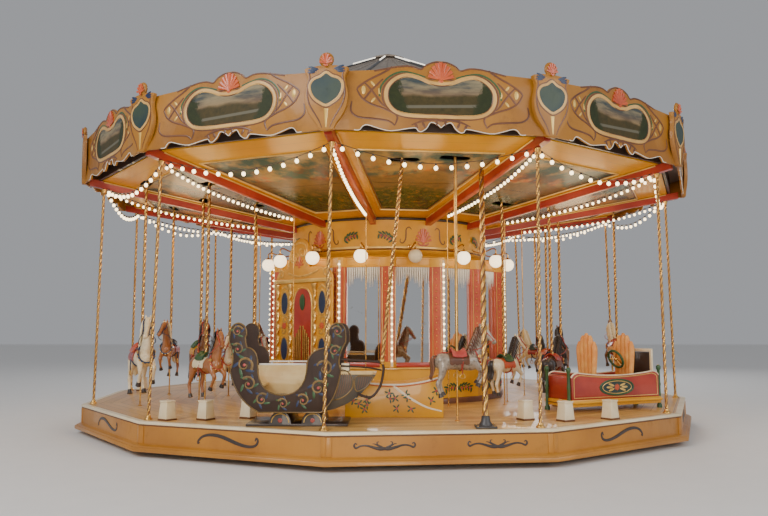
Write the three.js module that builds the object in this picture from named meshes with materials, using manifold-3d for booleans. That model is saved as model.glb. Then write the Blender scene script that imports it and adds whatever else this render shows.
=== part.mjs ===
// Fairground carousel with a twelve-sided turning platform, in millimetres, +Z up.
// The origin is on the ground, on the upright line that the carousel turns about.
// A piece at angle zero lies towards -Y, and a turn about +Z carries it to its own angle.
import * as THREE from 'three';
import { mergeVertices } from 'three/addons/utils/BufferGeometryUtils.js';
import Module from 'manifold-3d';

const wasm = await Module();
wasm.setup();

// Driving dimensions of the whole machine
const SIDES = 12;
const BAY = (2 * Math.PI) / SIDES;
const MID_SIDE = Math.cos(BAY / 2);
const BAY_TURN = THREE.MathUtils.degToRad(7.16);
const CORNER_RADIUS = 4900;
const FLOOR_TOP = 420;
const EAVES_RADIUS = 4735;
const EAVES_HEIGHT = 3780;
const CEILING_SLOPE = 0.175;
const ROOF_RIM_HEIGHT = 4131;
const ROOF_SLOPE = 0.477;
const TOP_HEIGHT = 6470;

// Gap between neighbours, depth a part is sunk into the one it joins, and reach of a cutter past its work
const SEAT_GAP = 0.3;
const ROOTED = 5;
const CUT_PAST = 10;
const ROUND_SIDES = 24;
const ROD_SIDES = 8;

// Fixed base under the platform
const BASE = { height: 250, armLength: 6600, armWidth: 200, armHeight: 190, hubRadius: 400 };
const MAST = { radius: 150, top: 3050, play: 0.6 };

// Platform
const FLOOR = { thickness: 60, cornerRadius: 4830, holeRadius: 420 };
const SKIRT = { bottom: 70, mouldingTop: 150, mouldingRadius: 4990, bevel: 20 };
const STEP = { height: 240, footHalf: 82, topHalf: 66 };
const STEP_PLACES = [
  [4080, 24.5], [4400, 29.3], [4570, 37], [3250, 50], [4640, -35.6], [4350, -31], [3960, -26.2],
  [4530, 110], [4500, 157], [4530, 222], [4500, 262],
];

// Turning structure over the platform
const HUB = { radius: 240, bottom: 2800, flangeRadius: 330, flange: 70, top: 3400 };
const KING_POST = { radius: 90, collarRadius: 240, collarHeight: 100 };
const SWEEP = { width: 90, depth: 110, innerRadius: 250, outerRadius: 4905 };
const SWEEP_RING = { radius: 330, bottom: 2870.3, top: 3010, play: 0.4 };
const ROD = { radius: 20, footRadius: 4740, footShift: -60, headRadius: 4700 };
const RIM = { innerRadius: 4750, outerRadius: 4790 };
const CEILING = {
  innerRadius: 1690, thickness: 14, slotLength: 400, slotWidth: 140, cutLow: 3100, cutDepth: 900,
};
const ROOF = { outerRadius: 4785, innerRadius: 250, thickness: 20 };
const ROOF_CAP = { radius: 330, brim: 25, knobRadius: 60, knobHeight: 20 };
const CROWN = { midSide: 4800, boardThickness: 30, low: 3735, scallop: 3860, top: 4490, dip: 4430 };
const CROWN_TIE = { low: 4020, high: 4060 };
const SHIELD = { radius: 4965, thickness: 55, low: 3725, top: 4610, crest: 85 };

// Mirror drum round the mast
const DRUM_SIDES = 16;
const DRUM_BAY = (2 * Math.PI) / DRUM_SIDES;
const DRUM_TURN = THREE.MathUtils.degToRad(11.35);
const DRUM = { radius: 1965, wall: 60, baseTop: 930, mirrorRadius: 1905, mirrorWall: 25, top: 2600 };
const PILASTER = {
  baseHalf: 115, edgeHalf: 25, edgeShift: 55, radius: 2045, backDepth: 30, faceDepth: 25,
};
const FRAME = { radius: 1960, sill: 70, header: 130 };
const CORNICE = {
  radius: 1660, inner: 1600, flange: 1950, flangeHeight: 20, slopeTop: 2700, shoulder: 20, bevel: 15,
  sides: 32,
};
const LAMP = {
  ringRadius: 2075, height: 2610, globe: 105, armRadius: 14, bandBottom: 2760, bandTop: 2800, band: 14,
  bend: 120, drop: 40, sunk: 20, armSides: 4,
};
const ORGAN = { turn: -40, pilaster: 13, midSide: 2000, thickness: 34, halfWidth: 620, top: 2930 };

// Gondola at the front, with its lengths measured from its own middle and the floor
const GONDOLA = {
  x: -1140, y: -4000, halfWidth: 420, board: 40, wall: 15, low: 165, bow: -655, stern: 1005,
  bowHeight: 660, sternHeight: 590, boardTop: 1200, railRadius: 16,
};
const TUB = { seatTop: 450, leftSeat: -350, rightSeat: 250, doorLeft: -344, doorRight: 208, sill: 375 };
const ROCKER = { places: [-95, 277], half: 130, topHalf: 30, plinth: 30, left: -490, right: 680, inset: 60 };
const GONDOLA_POLE = { slot: [3830, 3], radius: 26, above: 160, foot: [-66, -4396, 1165.9] };
const TWIST_POST = { foot: [1107, -4440], head: [1220, -3450], below: 8, radius: 38, plate: [120, 110, 25] };

// Bench and car on the platform
const BENCH = {
  x: 80, y: -3225, halfLength: 620, halfWidth: 270, end: 40, height: 530, sag: 110, floor: 90,
  play: 1, seatLength: 380, seatTop: 310,
};
const CAR = {
  x: 3036, y: -2406, turn: 26, halfLength: 780, halfWidth: 260, low: 165, top: 515, wall: 35, dip: 90,
};
const CAR_SEAT = {
  places: [-145, 530], across: 215, backHalf: 185, length: 250, cushion: 220, top: 1100,
  thickness: 90, overlap: 60,
};
const CAR_FRAME = { rail: 70, post: 24, postTop: 600, out: 30, cap: 35, side: 10 };
const CAR_SCREEN = { x: 695, depth: 28, top: 830, border: 45, sill: 60, play: 2 };

// Jumping horses: radius, angle in degrees, place at rest, and size against the common small horse
const HORSES = [
  [3930, 12.4, 'high', 1], [2550, 42.5, 'low', 1], [2950, 58, 'low', 1], [2950, 84, 'high', 1],
  [4150, -60.5, 'low', 1.3], [3250, -63, 'high', 1.1], [3750, -88, 'high', 1.1], [2600, -52, 'low', 1],
  [3600, -45, 'low', 1.1], [2700, -80, 'low', 1], [4050, 93, 'high', 1.1], [3200, 110, 'low', 1],
  [4050, 130, 'low', 1.1], [3600, 157, 'high', 1.1], [3600, 190, 'low', 1.1], [3700, 222, 'high', 1.1],
];
const HOOF_HEIGHT = { high: 290, low: 150 };
const HORSE_POLE = { radius: 25, above: 300, belly: 340 };
const FLOOR_ROD = { radius: 11, boreRadius: 11.8, top: 1280, boreDepth: 500, boreBelow: 200 };

const ochre = { color: 0xc88a2e, roughness: 0.45, metalness: 0.0 };
const gilt = { color: 0xd9a441, roughness: 0.35, metalness: 0.4 };
const red = { color: 0x8e1f16, roughness: 0.4, metalness: 0.0 };
const cream = { color: 0xe9dcb8, roughness: 0.5, metalness: 0.0 };
const yellow = { color: 0xe6b32e, roughness: 0.3, metalness: 0.0 };
const brass = { color: 0xc9a24a, roughness: 0.25, metalness: 1.0 };
const steel = { color: 0x4a4a4c, roughness: 0.5, metalness: 0.8 };
const mirror = { color: 0xd8dde0, roughness: 0.05, metalness: 1.0 };
const dark = { color: 0x2a2018, roughness: 0.6, metalness: 0.0 };
const timber = { color: 0x8a5a2a, roughness: 0.6, metalness: 0.0 };
const orange = { color: 0xd9752a, roughness: 0.7, metalness: 0.0 };
const horseCoats = [0x8a7a68, 0x4a3a30, 0x2c2622, 0xe2d2a8, 0xe8dcc0, 0x6a5a48, 0xd8c49a, 0x9a4030];

// Solids and their joining

// Merges shared corners and drops triangles without area, and turns the faces outwards
function weld(geometry) {
  const bare = geometry.clone();
  for (const name of Object.keys(bare.attributes)) {
    if (name !== 'position') bare.deleteAttribute(name);
  }
  const merged = mergeVertices(bare, 0.002);
  const index = merged.index.array;
  const place = merged.attributes.position;
  const kept = [];
  let volume = 0;
  const a = new THREE.Vector3();
  const b = new THREE.Vector3();
  const c = new THREE.Vector3();
  for (let i = 0; i < index.length; i += 3) {
    const [p, q, r] = [index[i], index[i + 1], index[i + 2]];
    if (p === q || q === r || r === p) continue;
    kept.push(p, q, r);
    a.fromBufferAttribute(place, p);
    b.fromBufferAttribute(place, q);
    c.fromBufferAttribute(place, r);
    volume += a.dot(b.cross(c));
  }
  merged.setIndex(volume < 0 ? kept.reverse() : kept);
  return merged;
}

function toSolid(geometry) {
  const closed = weld(geometry);
  return new wasm.Manifold(new wasm.Mesh({
    numProp: 3,
    vertProperties: new Float32Array(closed.attributes.position.array),
    triVerts: new Uint32Array(closed.index.array),
  }));
}

function toGeometry(solid) {
  const mesh = solid.getMesh();
  const geometry = new THREE.BufferGeometry();
  geometry.setAttribute('position', new THREE.BufferAttribute(mesh.vertProperties, 3));
  geometry.setIndex(new THREE.BufferAttribute(mesh.triVerts, 1));
  geometry.computeVertexNormals();
  return geometry;
}

function joined(geometries) {
  return toGeometry(geometries.map(toSolid).reduce((whole, next) => whole.add(next)));
}

function cutBy(geometry, cutters) {
  const start = toSolid(geometry);
  return toGeometry(cutters.map(toSolid).reduce((whole, next) => whole.subtract(next), start));
}

function piece(name, geometry, look) {
  const mesh = new THREE.Mesh(weld(geometry), new THREE.MeshStandardMaterial(look));
  mesh.name = name;
  return mesh;
}

// Shapes that many pieces share

function box(x0, y0, z0, x1, y1, z1) {
  const geometry = new THREE.BoxGeometry(x1 - x0, y1 - y0, z1 - z0);
  return geometry.translate((x0 + x1) / 2, (y0 + y1) / 2, (z0 + z1) / 2);
}

// Spins a closed outline of radius and height points about +Z, with a corner at half a side from -Y
function ring(outline, sides) {
  const points = outline.map(([radius, height]) => new THREE.Vector2(radius, height));
  if (outline[0][0] > 0) points.push(points[0].clone());
  const geometry = new THREE.LatheGeometry(points, sides, Math.PI / sides);
  return geometry.rotateX(Math.PI / 2);
}

function upright(radius, low, high, sides) {
  return ring([[0, low], [radius, low], [radius, high], [0, high]], sides);
}

// Extrudes a side view, drawn along X and Z, between two distances towards -Y
function sideBoard(shape, near, far, curveSegments = 5) {
  const settings = { depth: far - near, bevelEnabled: false, curveSegments };
  const geometry = new THREE.ExtrudeGeometry(shape, settings);
  return geometry.rotateX(Math.PI / 2).translate(0, -near, 0);
}

function outlineShape(points) {
  return new THREE.Shape(points.map(([x, z]) => new THREE.Vector2(x, z)));
}

// Joins level or tilted rings of points into one closed body, for limbs, bodies and leaning bars
function skin(rings) {
  const count = rings[0].length;
  const places = rings.flat();
  const faces = [];
  for (let i = 0; i < rings.length - 1; i += 1) {
    for (let j = 0; j < count; j += 1) {
      const a = i * count + j;
      const b = i * count + ((j + 1) % count);
      faces.push(a, b, b + count, a, b + count, a + count);
    }
  }
  const last = (rings.length - 1) * count;
  for (let j = 1; j < count - 1; j += 1) {
    faces.push(0, j + 1, j, last, last + j, last + j + 1);
  }
  const geometry = new THREE.BufferGeometry();
  geometry.setAttribute('position', new THREE.Float32BufferAttribute(places.flat(), 3));
  geometry.setIndex(faces);
  return geometry;
}

// A limb in the plane of X and Z: stations of [x, y, z, half width across, half depth], with given sides
function limb(stations, sides) {
  const rings = stations.map((station, i) => {
    const [x, y, z, across, deep] = station;
    const before = stations[Math.max(i - 1, 0)];
    const after = stations[Math.min(i + 1, stations.length - 1)];
    const along = new THREE.Vector2(after[0] - before[0], after[2] - before[2]).normalize();
    return Array.from({ length: sides }, (_, k) => {
      const turn = ((k + 0.5) * 2 * Math.PI) / sides;
      const out = deep * Math.cos(turn);
      return [x - along.y * out, y + across * Math.sin(turn), z + along.x * out];
    });
  });
  return skin(rings);
}

// A bar with level ends from one point to another
function leaningBar(from, to, radius, sides) {
  const level = ([x, y, z]) => Array.from({ length: sides }, (_, k) => {
    const turn = ((k + 0.5) * 2 * Math.PI) / sides;
    return [x + radius * Math.cos(turn), y + radius * Math.sin(turn), z];
  });
  return skin([level(from), level(to)]);
}

function bentTube(points, radius, sides, steps) {
  const path = new THREE.CatmullRomCurve3(points.map((p) => new THREE.Vector3(...p)));
  const section = new THREE.Shape();
  section.absarc(0, 0, radius, 0, 2 * Math.PI);
  const settings = { steps, extrudePath: path, curveSegments: sides, bevelEnabled: false };
  return new THREE.ExtrudeGeometry(section, settings);
}

const atTurn = (geometry, angle) => geometry.rotateZ(angle);
const radians = (degrees) => THREE.MathUtils.degToRad(degrees);
const sweepTop = (radius) => EAVES_HEIGHT - SEAT_GAP + (radius - EAVES_RADIUS) * CEILING_SLOPE;
const roofUnder = (radius) => ROOF_RIM_HEIGHT + (ROOF.outerRadius - radius) * ROOF_SLOPE;
const placeAt = (radius, degrees) => [
  radius * Math.sin(radians(degrees)),
  -radius * Math.cos(radians(degrees)),
];

// The ceiling's underside over a point of the platform, given the point's radius and angle
function ceilingOver(radius, degrees) {
  const offMiddle = ((radians(degrees) - BAY_TURN) % BAY + 1.5 * BAY) % BAY - BAY / 2;
  const cornerRadius = (radius * Math.cos(offMiddle)) / MID_SIDE;
  return EAVES_HEIGHT + (cornerRadius - EAVES_RADIUS) * CEILING_SLOPE;
}

// Fixed base

function groundFrame() {
  const half = BASE.armLength / 2;
  const wide = BASE.armWidth / 2;
  const alongX = box(-half, -wide, 0, half, wide, BASE.armHeight);
  const alongY = box(-wide, -half, 0, wide, half, BASE.armHeight);
  const hub = upright(BASE.hubRadius, 0, BASE.height, ROUND_SIDES);
  return joined([alongX, alongY, hub]);
}

function mast() {
  return upright(MAST.radius, BASE.height + SEAT_GAP, MAST.top, ROUND_SIDES);
}

// Platform

function step() {
  const square = (half, z) => [[-half, -half, z], [half, -half, z], [half, half, z], [-half, half, z]];
  return skin([square(STEP.footHalf, FLOOR_TOP - ROOTED), square(STEP.topHalf, FLOOR_TOP + STEP.height)]);
}

// The floor carries the child steps and the thin rods that the horse poles slide on
function floorWithSteps() {
  const low = FLOOR_TOP - FLOOR.thickness;
  const { cornerRadius, holeRadius } = FLOOR;
  const plate = ring([
    [holeRadius, low], [cornerRadius, low], [cornerRadius, FLOOR_TOP], [holeRadius, FLOOR_TOP],
  ], SIDES);
  const solids = [atTurn(plate, BAY_TURN)];
  for (const [radius, degrees] of STEP_PLACES) {
    const [x, y] = placeAt(radius, degrees);
    solids.push(atTurn(step(), radians(degrees)).translate(x, y, 0));
  }
  for (const [radius, degrees] of HORSES) {
    const [x, y] = placeAt(radius, degrees);
    const rod = upright(FLOOR_ROD.radius, FLOOR_TOP - ROOTED, FLOOR_ROD.top, ROD_SIDES);
    solids.push(atTurn(rod, radians(degrees)).translate(x, y, 0));
  }
  return joined(solids);
}

function skirt() {
  const inner = FLOOR.cornerRadius + SEAT_GAP;
  const { bottom, mouldingTop, mouldingRadius, bevel } = SKIRT;
  return ring([
    [inner, bottom], [mouldingRadius, bottom], [mouldingRadius, mouldingTop - bevel],
    [CORNER_RADIUS, mouldingTop], [CORNER_RADIUS, FLOOR_TOP], [inner, FLOOR_TOP],
  ], SIDES);
}

// Structure over the platform

function hangingRod() {
  const foot = [ROD.footShift, -ROD.footRadius, FLOOR_TOP + SEAT_GAP];
  const headTop = sweepTop(ROD.headRadius - ROD.radius) - SWEEP.depth - SEAT_GAP;
  return leaningBar(foot, [0, -ROD.headRadius, headTop], ROD.radius, ROD_SIDES);
}

function sweepBeam(clear = 0) {
  const { innerRadius: r0, outerRadius: r1, depth, width } = SWEEP;
  const outline = [
    [r0, sweepTop(r0) + clear], [r0, sweepTop(r0) - depth - clear],
    [r1, sweepTop(r1) - depth - clear], [r1, sweepTop(r1) + clear],
  ];
  const half = width / 2 + clear;
  const beam = sideBoard(outlineShape(outline), -half, half);
  return beam.rotateZ(-Math.PI / 2);
}

function sweeps() {
  const { radius, bottom, top, play } = SWEEP_RING;
  const hole = HUB.radius + play;
  const outline = [[hole, bottom], [radius, bottom], [radius, top], [hole, top]];
  const solids = [ring(outline, ROUND_SIDES)];
  for (let k = 0; k < SIDES; k += 1) {
    solids.push(atTurn(sweepBeam(), (k + 0.5) * BAY));
  }
  return joined(solids);
}

function turningHub() {
  const bore = MAST.radius / Math.cos(Math.PI / ROUND_SIDES) + MAST.play;
  const collarTop = roofUnder(KING_POST.collarRadius) - SEAT_GAP;
  return ring([
    [0, MAST.top + SEAT_GAP], [bore, MAST.top + SEAT_GAP], [bore, HUB.bottom],
    [HUB.flangeRadius, HUB.bottom], [HUB.flangeRadius, HUB.bottom + HUB.flange],
    [HUB.radius, HUB.bottom + HUB.flange], [HUB.radius, HUB.top], [KING_POST.radius, HUB.top],
    [KING_POST.radius, collarTop - KING_POST.collarHeight],
    [KING_POST.collarRadius, collarTop - KING_POST.collarHeight],
    [KING_POST.collarRadius, collarTop], [0, collarTop],
  ], ROUND_SIDES);
}

function rimRing() {
  const low = sweepTop(RIM.outerRadius) + SEAT_GAP;
  const high = ROOF_RIM_HEIGHT - SEAT_GAP;
  return ring([
    [RIM.innerRadius, low], [RIM.outerRadius, low], [RIM.outerRadius, high], [RIM.innerRadius, high],
  ], SIDES);
}

function ceilingSlot() {
  const straight = (CEILING.slotLength - CEILING.slotWidth) / 2;
  const round = CEILING.slotWidth / 2;
  const oval = new THREE.Shape();
  oval.absarc(straight, 0, round, -Math.PI / 2, Math.PI / 2);
  oval.absarc(-straight, 0, round, Math.PI / 2, (3 * Math.PI) / 2);
  const settings = { depth: CEILING.cutDepth, bevelEnabled: false, curveSegments: 4 };
  return new THREE.ExtrudeGeometry(oval, settings).translate(0, 0, CEILING.cutLow);
}

// The ceiling falls towards the middle and has a slot over each horse and over the gondola's pole
function ceiling() {
  const { innerRadius, thickness } = CEILING;
  const inner = EAVES_HEIGHT + (innerRadius - EAVES_RADIUS) * CEILING_SLOPE;
  const cone = ring([
    [innerRadius, inner], [EAVES_RADIUS, EAVES_HEIGHT],
    [EAVES_RADIUS, EAVES_HEIGHT + thickness], [innerRadius, inner + thickness],
  ], SIDES);
  const places = [...HORSES, GONDOLA_POLE.slot];
  const slots = places.map(([radius, degrees]) => {
    const [x, y] = placeAt(radius, degrees);
    return atTurn(ceilingSlot(), radians(degrees)).translate(x, y, 0).rotateZ(-BAY_TURN);
  });
  return cutBy(cone, slots);
}

function roof() {
  const { outerRadius, innerRadius, thickness } = ROOF;
  return ring([
    [innerRadius, roofUnder(innerRadius)], [outerRadius, ROOF_RIM_HEIGHT],
    [outerRadius, ROOF_RIM_HEIGHT + thickness], [innerRadius, roofUnder(innerRadius) + thickness],
  ], SIDES);
}

function roofCap() {
  const { radius, brim, knobRadius, knobHeight } = ROOF_CAP;
  const low = roofUnder(ROOF.innerRadius) + ROOF.thickness + SEAT_GAP;
  return ring([
    [0, low], [radius, low], [radius, low + brim], [knobRadius, TOP_HEIGHT - knobHeight], [0, TOP_HEIGHT],
  ], SIDES);
}

// One wide board of the crown, with a cupped lower edge and two humps over its middle
function crownBoard() {
  const { midSide, boardThickness, low, scallop, top, dip } = CROWN;
  const half = (midSide + boardThickness / 2) * Math.tan(BAY / 2);
  const right = [
    [0, scallop - 40], [150, scallop], [270, low + 10], [420, low + 40], [640, low + 20],
    [850, scallop - 50], [1040, low], [half, low], [half, dip - 40], [760, dip], [480, top],
    [230, top - 10], [170, top + 45], [60, top + 75],
  ];
  const left = right.slice(1).reverse().map(([x, z]) => [-x, z]);
  return sideBoard(outlineShape([...right, ...left]), midSide, midSide + boardThickness);
}

// One corner shield of the crown, pointed below, with a round crest
function crownShield() {
  const { radius, thickness, low, top, crest } = SHIELD;
  const side = [[70, low], [190, 3900], [245, 4120], [215, 4330], [250, 4420], [90, 4455]];
  const left = side.slice().reverse().map(([x, z]) => [-x, z]);
  const plate = sideBoard(outlineShape([...side, ...left]), radius, radius + thickness);
  const ball = new THREE.SphereGeometry(crest, 6, 4).rotateX(Math.PI / 2);
  return [plate, ball.translate(0, -radius - thickness / 2, top - crest)];
}

function crown() {
  const solids = [];
  for (let k = 0; k < SIDES; k += 1) {
    solids.push(atTurn(crownBoard(), k * BAY));
    for (const part of crownShield()) solids.push(atTurn(part, (k + 0.5) * BAY));
  }
  return joined([...solids, crownBrackets()]);
}

// A light ring behind the boards that ties them to the rim
function crownBrackets() {
  const inner = RIM.outerRadius + SEAT_GAP;
  const outer = (CROWN.midSide + ROOTED) / MID_SIDE;
  const { low, high } = CROWN_TIE;
  return ring([[inner, low], [outer, low], [outer, high], [inner, high]], SIDES);
}

// Mirror drum

function drumBase() {
  const { radius, wall, baseTop } = DRUM;
  const low = FLOOR_TOP + SEAT_GAP;
  const inner = radius - wall;
  return ring([[inner, low], [radius, low], [radius, baseTop], [inner, baseTop]], DRUM_SIDES);
}

function mirrorWall() {
  const { mirrorRadius, mirrorWall: wall, baseTop, top } = DRUM;
  const low = baseTop + SEAT_GAP;
  const inner = mirrorRadius - wall;
  const outer = mirrorRadius + DRUM.wall / 2;
  return ring([
    [inner, low], [outer, low], [outer, low + FRAME.sill / 2], [mirrorRadius, low + FRAME.sill / 2],
    [mirrorRadius, top], [inner, top],
  ], DRUM_SIDES);
}

function pilasterSection() {
  const { baseHalf, edgeHalf, edgeShift, radius, backDepth, faceDepth } = PILASTER;
  const back = backDepth - DRUM.mirrorRadius;
  const face = faceDepth - FRAME.radius;
  return outlineShape([
    [-baseHalf, back], [-baseHalf, face], [edgeShift - edgeHalf, -radius],
    [edgeShift + edgeHalf, -radius], [baseHalf, face], [baseHalf, back],
  ]);
}

// Pilasters with a sill and a header between them; the organ front takes the place of one pilaster
function mirrorFrame() {
  const low = DRUM.baseTop + FRAME.sill / 2 + 2 * SEAT_GAP;
  const high = DRUM.top;
  const inner = DRUM.mirrorRadius + SEAT_GAP;
  const band = (start, end, from, to) => ring([
    [from, start], [to, start], [to, end], [from, end],
  ], DRUM_SIDES);
  const solids = [
    band(low, low + FRAME.sill, inner, FRAME.radius),
    band(high - FRAME.header, high, inner, FRAME.radius),
  ];
  for (let k = 0; k < DRUM_SIDES; k += 1) {
    if (k === ORGAN.pilaster) continue;
    const post = new THREE.ExtrudeGeometry(pilasterSection(), { depth: high - low, bevelEnabled: false });
    solids.push(atTurn(post.translate(0, 0, low), (k + 0.5) * DRUM_BAY));
  }
  return cutBy(joined(solids), [band(low - CUT_PAST, high + CUT_PAST, 0, inner)]);
}

// Round painted cornice on a sloping shoulder, notched over the beams of the ceiling
function cornice() {
  const { radius, inner, flange, flangeHeight, slopeTop, shoulder, bevel, sides } = CORNICE;
  const low = DRUM.top + SEAT_GAP;
  const top = EAVES_HEIGHT + (CEILING.innerRadius - EAVES_RADIUS) * CEILING_SLOPE - SEAT_GAP;
  const body = ring([
    [inner, low], [flange, low], [flange, low + flangeHeight], [radius + shoulder, slopeTop],
    [radius, slopeTop + bevel], [radius, top], [inner, top],
  ], sides);
  const toDrum = BAY_TURN - DRUM_TURN;
  const beams = Array.from({ length: SIDES }, (_, k) => atTurn(sweepBeam(1), (k + 0.5) * BAY + toDrum));
  return cutBy(body, beams);
}

function lampRing() {
  const inner = CORNICE.radius + SEAT_GAP;
  const start = inner * Math.cos(Math.PI / CORNICE.sides) + ROOTED;
  const { ringRadius, height, globe, armRadius, bandBottom, bandTop, band, bend, drop, armSides } = LAMP;
  const solids = [ring([
    [inner, bandBottom], [inner + band, bandBottom], [inner + band, bandTop], [inner, bandTop],
  ], CORNICE.sides)];
  const bends = [
    [start, (bandBottom + bandTop) / 2], [ringRadius - bend, bandTop], [ringRadius, bandTop - drop],
    [ringRadius, height + globe - LAMP.sunk],
  ];
  for (let k = 0; k < DRUM_SIDES; k += 1) {
    const arm = limb(bends.map(([out, up]) => [out, 0, up, armRadius, armRadius]), armSides);
    const ball = new THREE.SphereGeometry(globe, 8, 4).rotateX(Math.PI / 2);
    ball.translate(ringRadius, 0, height);
    solids.push(atTurn(arm, k * DRUM_BAY - Math.PI / 2), atTurn(ball, k * DRUM_BAY - Math.PI / 2));
  }
  return joined(solids);
}

// Carved organ front that stands on the floor before the drum, with its crest beside a globe lamp
function organFront() {
  const { midSide, thickness, halfWidth, top } = ORGAN;
  const shape = new THREE.Shape();
  shape.moveTo(-halfWidth, FLOOR_TOP + SEAT_GAP);
  shape.lineTo(halfWidth, FLOOR_TOP + SEAT_GAP);
  shape.lineTo(halfWidth, 2300);
  shape.quadraticCurveTo(halfWidth - 20, 2450, 350, 2480);
  shape.lineTo(105, 2480);
  shape.lineTo(105, 2800);
  shape.quadraticCurveTo(80, top, -90, top);
  shape.quadraticCurveTo(-330, top - 60, -350, 2480);
  shape.quadraticCurveTo(20 - halfWidth, 2450, -halfWidth, 2300);
  return atTurn(sideBoard(shape, midSide, midSide + thickness), radians(ORGAN.turn));
}

// Gondola

// Outline of a side board, with a horn at each end and a low seat opening between them
function gondolaSide() {
  const { low } = GONDOLA;
  const shape = new THREE.Shape();
  shape.moveTo(-330, low);
  shape.lineTo(380, low);
  shape.quadraticCurveTo(560, 300, 600, 640);
  shape.quadraticCurveTo(540, 770, 655, 960);
  shape.quadraticCurveTo(670, 1180, 560, 1180);
  shape.quadraticCurveTo(450, 1160, 465, 1040);
  shape.quadraticCurveTo(500, 1030, 465, 900);
  shape.quadraticCurveTo(230, 890, 215, 700);
  shape.quadraticCurveTo(212, 370, -70, 360);
  shape.quadraticCurveTo(-352, 370, -352, 700);
  shape.quadraticCurveTo(-350, 890, -480, 900);
  shape.quadraticCurveTo(-515, 1030, -485, 1040);
  shape.quadraticCurveTo(-480, 1160, -575, 1180);
  shape.quadraticCurveTo(-688, 1180, -681, 960);
  shape.quadraticCurveTo(-600, 770, -668, 640);
  shape.quadraticCurveTo(-600, 300, -330, low);
  return shape;
}

// Side view of the tub, drawn inwards from its outer face by a given thickness and up to a given height
function tubShape(thickness, high) {
  const low = GONDOLA.low + thickness;
  const { bow, stern } = GONDOLA;
  const shape = new THREE.Shape();
  shape.moveTo(-300, low);
  shape.lineTo(380 - thickness / 2, low);
  shape.quadraticCurveTo(stern - 205 - thickness, 230 + thickness, stern - thickness, GONDOLA.sternHeight);
  shape.lineTo(stern - thickness, high);
  shape.lineTo(thickness + bow, high);
  shape.lineTo(thickness + bow, 700);
  shape.quadraticCurveTo(thickness + bow + 40, 260 + thickness, -300, low);
  return shape;
}

// The tub between the side boards, with its two seats, open where the near side board is open
function gondolaHull() {
  const { halfWidth, board, wall, bow, stern, bowHeight, sternHeight, boardTop } = GONDOLA;
  const { seatTop, leftSeat, rightSeat, doorLeft, doorRight, sill } = TUB;
  const inside = halfWidth - board - SEAT_GAP;
  const across = inside + ROOTED;
  const seat = inside - ROOTED;
  const outer = sideBoard(tubShape(0, 705), -inside, inside);
  const pocket = sideBoard(tubShape(2 * wall, boardTop), wall - inside, inside - wall);
  const doorway = box(doorLeft, -across, sill, doorRight, wall - seat, boardTop);
  const overStern = box(560, -across, sternHeight, stern + 45, across, boardTop);
  const overBow = box(bow - 45, -across, bowHeight, 580, across, boardTop);
  const seats = [
    box(bow + 55, -seat, seatTop - wall * 2, leftSeat, seat, seatTop),
    box(rightSeat, -seat, seatTop - wall * 2, stern - 175, seat, seatTop),
  ];
  return joined([cutBy(outer, [pocket, doorway, overStern, overBow]), ...seats]);
}

function gondolaStand() {
  const { places, half, topHalf, plinth, left, right, inset } = ROCKER;
  const top = GONDOLA.low - SEAT_GAP;
  const foot = plinth - ROOTED;
  const deep = GONDOLA.halfWidth - inset;
  const rocker = (x) => {
    const shape = new THREE.Shape();
    shape.moveTo(x - half, foot);
    shape.lineTo(x + half, foot);
    shape.quadraticCurveTo(x + half - 20, top, x + topHalf, top);
    shape.lineTo(x - topHalf, top);
    shape.quadraticCurveTo(x - half + 20, top, x - half, foot);
    return sideBoard(shape, -deep, deep);
  };
  return joined([box(left, -deep, SEAT_GAP, right, deep, plinth), ...places.map(rocker)]);
}

// Bent rail round the stern of the tub, from the right side board's head down to its foot
function gondolaRail() {
  const { halfWidth, board, railRadius } = GONDOLA;
  const y = board - halfWidth - 2 * SEAT_GAP - railRadius;
  const points = [
    [597.4, y, 765], [900, y, 745], [1075, y, 715], [1078, y, 560], [1035, y, 430], [940, y, 335],
    [795, y, 372],
  ];
  return bentTube(points, railRadius, 6, 14);
}

function gondolaPole() {
  const [radius, degrees] = GONDOLA_POLE.slot;
  const [x, y] = placeAt(radius, degrees);
  const top = ceilingOver(radius, degrees) + GONDOLA_POLE.above;
  return leaningBar(GONDOLA_POLE.foot, [x, y, top], GONDOLA_POLE.radius, ROD_SIDES);
}

function twistPost() {
  const { foot: [x, y], head, below, radius, plate: [halfLength, halfWidth, thickness] } = TWIST_POST;
  const low = FLOOR_TOP + SEAT_GAP;
  const degrees = THREE.MathUtils.radToDeg(Math.atan2(head[0], -head[1]));
  const top = ceilingOver(Math.hypot(...head), degrees) - below;
  const plate = box(x - halfLength, y - halfWidth, low, x + halfLength, y + halfWidth, low + thickness);
  const shaft = leaningBar([x, y, low + thickness - ROOTED], [...head, top], radius, ROD_SIDES);
  return joined([plate, shaft]);
}

// Painted bench for small children
function benchBody() {
  const { halfLength, halfWidth, end, height, sag, floor } = BENCH;
  const middle = height - sag;
  const side = new THREE.Shape();
  side.moveTo(-halfLength, SEAT_GAP);
  side.lineTo(halfLength, SEAT_GAP);
  side.lineTo(halfLength, height);
  side.quadraticCurveTo(halfLength - 300, middle, 0, middle);
  side.quadraticCurveTo(-halfLength + 200, middle, -halfLength, height);
  const front = sideBoard(side, halfWidth - end, halfWidth);
  const back = sideBoard(side, -halfWidth, -halfWidth + end);
  const bottom = box(-halfLength, -halfWidth, SEAT_GAP, halfLength, halfWidth, floor);
  const closing = (x) => box(x, -halfWidth, floor - end + CUT_PAST, x + end, halfWidth, height - end / 2);
  return joined([front, back, bottom, closing(-halfLength), closing(halfLength - end)]);
}

function benchSeat() {
  const { halfLength, halfWidth, end, floor, play, seatLength, seatTop } = BENCH;
  const inside = halfLength - end - play;
  const across = halfWidth - end - play;
  return box(-inside, -across, floor + SEAT_GAP, -inside + seatLength, across, seatTop);
}

// Car with open top, two padded seats, a frame below and a screen hoop

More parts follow.
